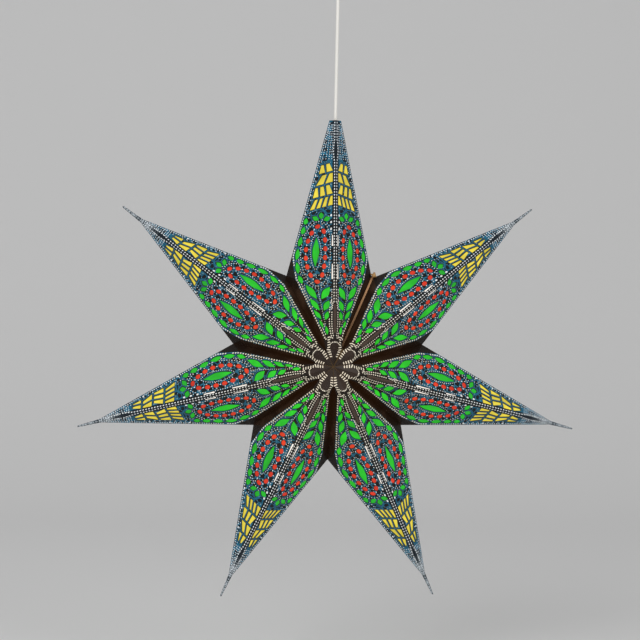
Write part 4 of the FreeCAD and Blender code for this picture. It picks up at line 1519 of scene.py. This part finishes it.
@dataclass
class Stage:
    """Floor, backdrop, lights and the camera."""

    plan: StarPlan
    floor_drop: float = 0.10
    floor_reach: float = 14.0
    wall_place: float = 3.0
    wall_height: float = 8.0
    curve: float = 1.6
    curve_steps: int = 24
    pale: Colour = (0.80, 0.80, 0.80)
    matt: float = 0.9
    daylight: float = 0.45
    lamps: tuple[tuple[str, tuple[float, float, float], float, float], ...] = (
        ("key", (-1.6, -2.4, 1.5), 1.8, 42.0), ("fill", (2.0, -2.0, 1.0), 1.5, 17.5))
    field_width: float = 0.7483
    sensor: float = 36.0
    lens: float = 120.0
    azimuth: float = -4.5
    elevation: float = 2.0
    roll: float = 1.2
    aim: Point = (0.0091, 0.0503)

    def build(self) -> None:
        """Make everything that isn't the lantern."""
        self.make_room()
        self.make_lights()
        self.make_camera()

    def make_room(self) -> None:
        """A pale floor that curves up into a backdrop, and an even white world."""
        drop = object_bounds()[0].z - self.floor_drop
        bm = bmesh.new()
        bmesh.ops.create_grid(bm, x_segments=1, y_segments=1, size=self.floor_reach)
        far = [edge for edge in bm.edges if min(vert.co.y for vert in edge.verts) > 0]
        top = made_verts(bmesh.ops.extrude_edge_only(bm, edges=far))
        bmesh.ops.translate(bm, verts=top, vec=(0.0, 0.0, self.wall_height))
        bmesh.ops.translate(bm, verts=bm.verts[:],
                            vec=(0.0, self.wall_place - self.floor_reach, drop))
        fold = [edge for edge in bm.edges if len(edge.link_faces) == 2]
        bmesh.ops.bevel(bm, geom=fold, offset=self.curve, segments=self.curve_steps,
                        profile=0.5, material=-1, affect="EDGES")
        bmesh.ops.recalc_face_normals(bm, faces=bm.faces[:])
        if min(bm.faces, key=lambda face: face.calc_center_median().z).normal.z < 0:
            bmesh.ops.reverse_faces(bm, faces=bm.faces[:])
        room = mesh_object("floor", bm, self.room_finish())
        for polygon in room.data.polygons:
            polygon.use_smooth = True
        room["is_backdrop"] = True
        world = bpy.data.worlds.new("studio")
        bpy.context.scene.world = world
        world.use_nodes = True
        back = world.node_tree.nodes["Background"]
        back.inputs["Color"].default_value = rgba(WHITE)
        back.inputs["Strength"].default_value = self.daylight

    def room_finish(self) -> Material:
        """Make the room's finish, pale and matt.

        Returns:
            The finish, clear from behind.
        """
        material = bpy.data.materials.new("pale_room")
        material.use_nodes = True
        nodes = material.node_tree.nodes
        graph, shader = Graph(material.node_tree), nodes["Principled BSDF"]
        graph.put(shader.inputs["Base Color"], self.pale)
        graph.put(shader.inputs["Roughness"], self.matt)
        behind = graph.add("NewGeometry").outputs["Backfacing"]
        either = graph.add("MixShader", behind, shader.outputs[0],
                           graph.add("BsdfTransparent").outputs[0])
        graph.put(nodes["Material Output"].inputs[0], either.outputs[0])
        return material

    def make_lights(self) -> None:
        """Two broad soft lamps, one from the upper left and one from the right."""
        for name, place, size, power in self.lamps:
            offset = Vector(place)
            data = bpy.data.lights.new(name, "AREA")
            data.size = size
            data.energy = power
            lamp = add_object(name, data)
            lamp.location = self.plan.centre() + offset
            lamp.rotation_euler = (-offset).to_track_quat("-Z", "Y").to_euler()

    def make_camera(self) -> None:
        """A long lens, a little to the left of the star and a little above it."""
        data = bpy.data.cameras.new("view")
        data.sensor_width = self.sensor
        data.lens = self.lens
        a, e = math.radians(self.azimuth), math.radians(self.elevation)
        back = Vector((math.sin(a) * math.cos(e), -math.cos(a) * math.cos(e), math.sin(e)))
        turn = (-back).to_track_quat("-Z", "Y") @ Matrix.Rotation(
            math.radians(self.roll), 4, "Z").to_quaternion()
        right, up = turn @ Vector((1.0, 0.0, 0.0)), turn @ Vector((0.0, 1.0, 0.0))
        target = self.plan.centre() - right * self.aim[0] + up * self.aim[1]
        camera = add_object("view", data)
        camera.rotation_mode = "QUATERNION"
        camera.rotation_quaternion = turn
        camera.location = target + back * (self.field_width * self.lens / self.sensor)
        bpy.context.scene.camera = camera
        bpy.context.scene.view_settings.view_transform = "Standard"


# ---------------------------------------------------------------- cord and screws


@dataclass
class PowerCord:
    """The round cord that hangs plumb from the ceiling fitting to the lamp."""

    radius: float = 0.0019
    runs: int = 6

    def build(self, material: Material) -> Piece:
        """Make the cord as one smooth curve along the CAD cord's axis.

        Args:
            material: the sheath's finish.

        Returns:
            The cord.
        """
        low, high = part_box("power_cord")
        data = bpy.data.curves.new("cord", "CURVE")
        data.dimensions = "3D"
        data.bevel_depth = self.radius
        data.bevel_resolution = 6
        data.use_fill_caps = True
        spline = data.splines.new("NURBS")
        spline.points.add(self.runs)
        for point, height in zip(spline.points, spaced(high.z, low.z, self.runs)):
            point.co = (0.0, 0.0, height, 1.0)
        spline.order_u = 3
        spline.use_endpoint_u = True
        data.materials.append(material)
        cord = add_object("cord", data)
        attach(cord, ROOT)
        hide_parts("power_cord")
        return cord


@dataclass
class TerminalScrews:
    """The four slotted screws on the front of the terminal block."""

    radius: float = 0.0015
    height: float = 0.0008
    slot: float = 0.0005
    segments: int = 24
    shares: Point = (0.27, 0.73)

    def build(self, material: Material) -> Piece:
        """Set a screw in each quarter of the block's front face.

        Args:
            material: the screws' finish.

        Returns:
            The screws, as one piece.
        """
        low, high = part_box("terminal_block")
        bm = bmesh.new()
        for across in self.shares:
            for up in self.shares:
                spot = (low.x + (high.x - low.x) * across, low.y,
                        low.z + (high.z - low.z) * up)
                turn = Matrix.Rotation(math.pi * (across + 2.0 * up), 4, "Z")
                head = self.head()
                head.transform(Matrix.Translation(spot)
                               @ Matrix.Rotation(math.pi / 2, 4, "X") @ turn)
                bm.from_mesh(head)
                bpy.data.meshes.remove(head)
        screws = mesh_object("terminal_screws", bm, material)
        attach(screws, ROOT)
        return screws

    def head(self) -> Mesh:
        """Make one slotted head.

        Returns:
            The head, half of it below its own origin.
        """
        bm = bmesh.new()
        bmesh.ops.create_cone(bm, cap_ends=True, segments=self.segments, radius1=self.radius,
                              radius2=self.radius, depth=2 * self.height)
        rim = [edge for edge in bm.edges if all(vert.co.z > 0 for vert in edge.verts)]
        bmesh.ops.bevel(bm, geom=rim, offset=self.height / 4, segments=2, profile=0.5,
                        material=-1, affect="EDGES")
        for side in Side:
            bmesh.ops.bisect_plane(bm, geom=bm.verts[:] + bm.edges[:] + bm.faces[:], dist=WELD,
                                   plane_co=(0.0, side.value * self.slot / 2, 0.0),
                                   plane_no=(0.0, 1.0, 0.0))
        top = max(vert.co.z for vert in bm.verts)
        floor = [face for face in bm.faces if abs(face.calc_center_median().y) < self.slot / 2
                 and face.calc_center_median().z > top - 10 * WELD]
        sunk = made_verts(bmesh.ops.extrude_face_region(bm, geom=floor))
        bmesh.ops.delete(bm, geom=floor, context="FACES_ONLY")
        bmesh.ops.translate(bm, verts=sunk, vec=(0.0, 0.0, -self.height / 2))
        bmesh.ops.recalc_face_normals(bm, faces=bm.faces[:])
        return mesh_of("head", bm)


class Finishes:
    """Every finish of the lantern, made once."""

    nodes = {
        "yellow_tissue": "yellow_tissue", "red_tissue": "red_tissue",
        "white_tissue": "white_tissue", "green_tissue": "green_tissue",
        "closing_board": "board", "closing_tie": "string", "bulb": "lamp_glass",
        "centre_contact": "contact_metal", "screw_shell": "contact_metal",
        "holder": "holder_plastic", "cord_stop": "stop_wood", "ceiling_cup": "cup_plastic",
        "cord_grip": "cup_plastic", "mounting_strap": "strap_steel",
        "cup_screws": "strap_steel", "terminal_block": "block_plastic"}

    def __init__(self, centre: Vector) -> None:
        """Make the shared fibre group and the materials.

        Args:
            centre: the star's centre.
        """
        fibres, blue = make_fibre_group(), "1b6683"
        # each card's hub colour below is painted lamplight, warmer round the lamp
        self.made = {finish.name: finish.build(fibres) for finish in (
            PrintedCard("printed_card", "0d1114", 0.62, centre=centre, painted_lamplight_hub_colour="2a211b",
                        point_colour="122430", ribbon=blue, painted_lamplight_ribbon_near="3c5660",
                        bare="211915", tongue="241a15", shine=0.25),
            # the bare card is darkened to near black: partly the brown paper, partly painted
            # shade for the deep valleys
            Card("bare_card_and_painted_valley_shade", "130d0a", 0.6, centre=centre, shine=0.12, painted_lamplight_hub_colour="1a120e",
                 point_colour="1a1512", hub_glow=0.026, rub=0.75),
            Card("tongue_card", "2b201a", 0.5, centre=centre, shine=0.25,
                 painted_lamplight_hub_colour="30241c", point_colour="2b201a", rub=0.35),
            Finish("inner_paper", "b59a78", 0.8),
            Outline("window_outline", "0b0e10", 0.55, centre=centre, painted_lamplight_hub_colour="14110f",
                    point_colour="0f1a22", ribbon=blue),
            # the pale ink glows by itself: painted light on the printed dots, warmer at the hub
            Card("pale_ink_painted_glow", "f2f4f2", 0.5, centre=centre, grain=0.1, glow=0.16,
                 painted_lamplight_hub_colour="f0dfc0", point_colour="dbe6ee"),
            *(Tissue(f"{name}_tissue", colour, 0.75, grain=0.3, glow=glow, near_colour=near,
                     centre=centre) for name, colour, near, glow in (
                ("yellow", "f0dc48", "f6dc40", 0.84), ("red", "e2231a", "f0501c", 0.72),
                ("white", "fbf7f0", "fcf4e8", 0.88), ("green", "04a82a", "30d41e", 0.84))),
            Finish("board", "b88a60", 0.7, grain=0.35),
            Finish("string", "b98d5c", 0.8, grain=0.5, bump=0.5),
            Finish("lamp_glass", "d9b98a", 0.25, glow=0.06, grain=0.05),
            Finish("contact_metal", "b9a06a", 0.3, metallic=1.0, grain=0.2),
            Finish("holder_plastic", "1b1b1c", 0.4, grain=0.15),
            Finish("stop_wood", "b98e5e", 0.6, grain_scale=90.0, grain=0.6),
            Finish("cup_plastic", "e4e2dc", 0.4, grain=0.12),
            Finish("strap_steel", "b4b8bc", 0.35, metallic=1.0, grain=0.3),
            Finish("block_plastic", "d8d5cc", 0.5),
            Finish("cord_sheath", "eceae4", 0.42, grain=0.05))}

    def for_node(self, name: str) -> Material:
        """The finish of a CAD node, by the start of its name."""
        return self.made[next((finish for start, finish in self.nodes.items()
                               if name.startswith(start)), "cord_sheath")]


def main() -> None:
    """Build the lantern and its stage."""
    logging.basicConfig(level=logging.INFO, format="%(name)s: %(message)s")
    plan = StarPlan()
    pattern = PatternPlan()
    finishes = Finishes(plan.centre())
    made = finishes.made
    cord = PowerCord().build(made["cord_sheath"])
    screws = TerminalScrews().build(made["contact_metal"])
    LOG.info("%s made, and %s of %d faces", cord.name, screws.name, len(screws.data.polygons))
    for name, node in frame["nodes"].items():
        node.data.materials.clear()
        node.data.materials.append(finishes.for_node(name))
    LOG.info("finishes on %d nodes", len(frame["nodes"]))
    sheet = [made[name] for name in ("printed_card", "bare_card_and_painted_valley_shade", "tongue_card", "inner_paper")]
    for number in plan.arms():
        arm = PaperArm(plan, pattern, number)
        pieces = (arm.paper(sheet), arm.ink(made["pale_ink_painted_glow"]), arm.trim(made["window_outline"]))
        LOG.info("arm %d: faces of paper %d, ink %d, outlines %d", number,
                 *(len(piece.data.polygons) for piece in pieces))
    Stage(plan).build()


if __name__ == "__main__":
    main()
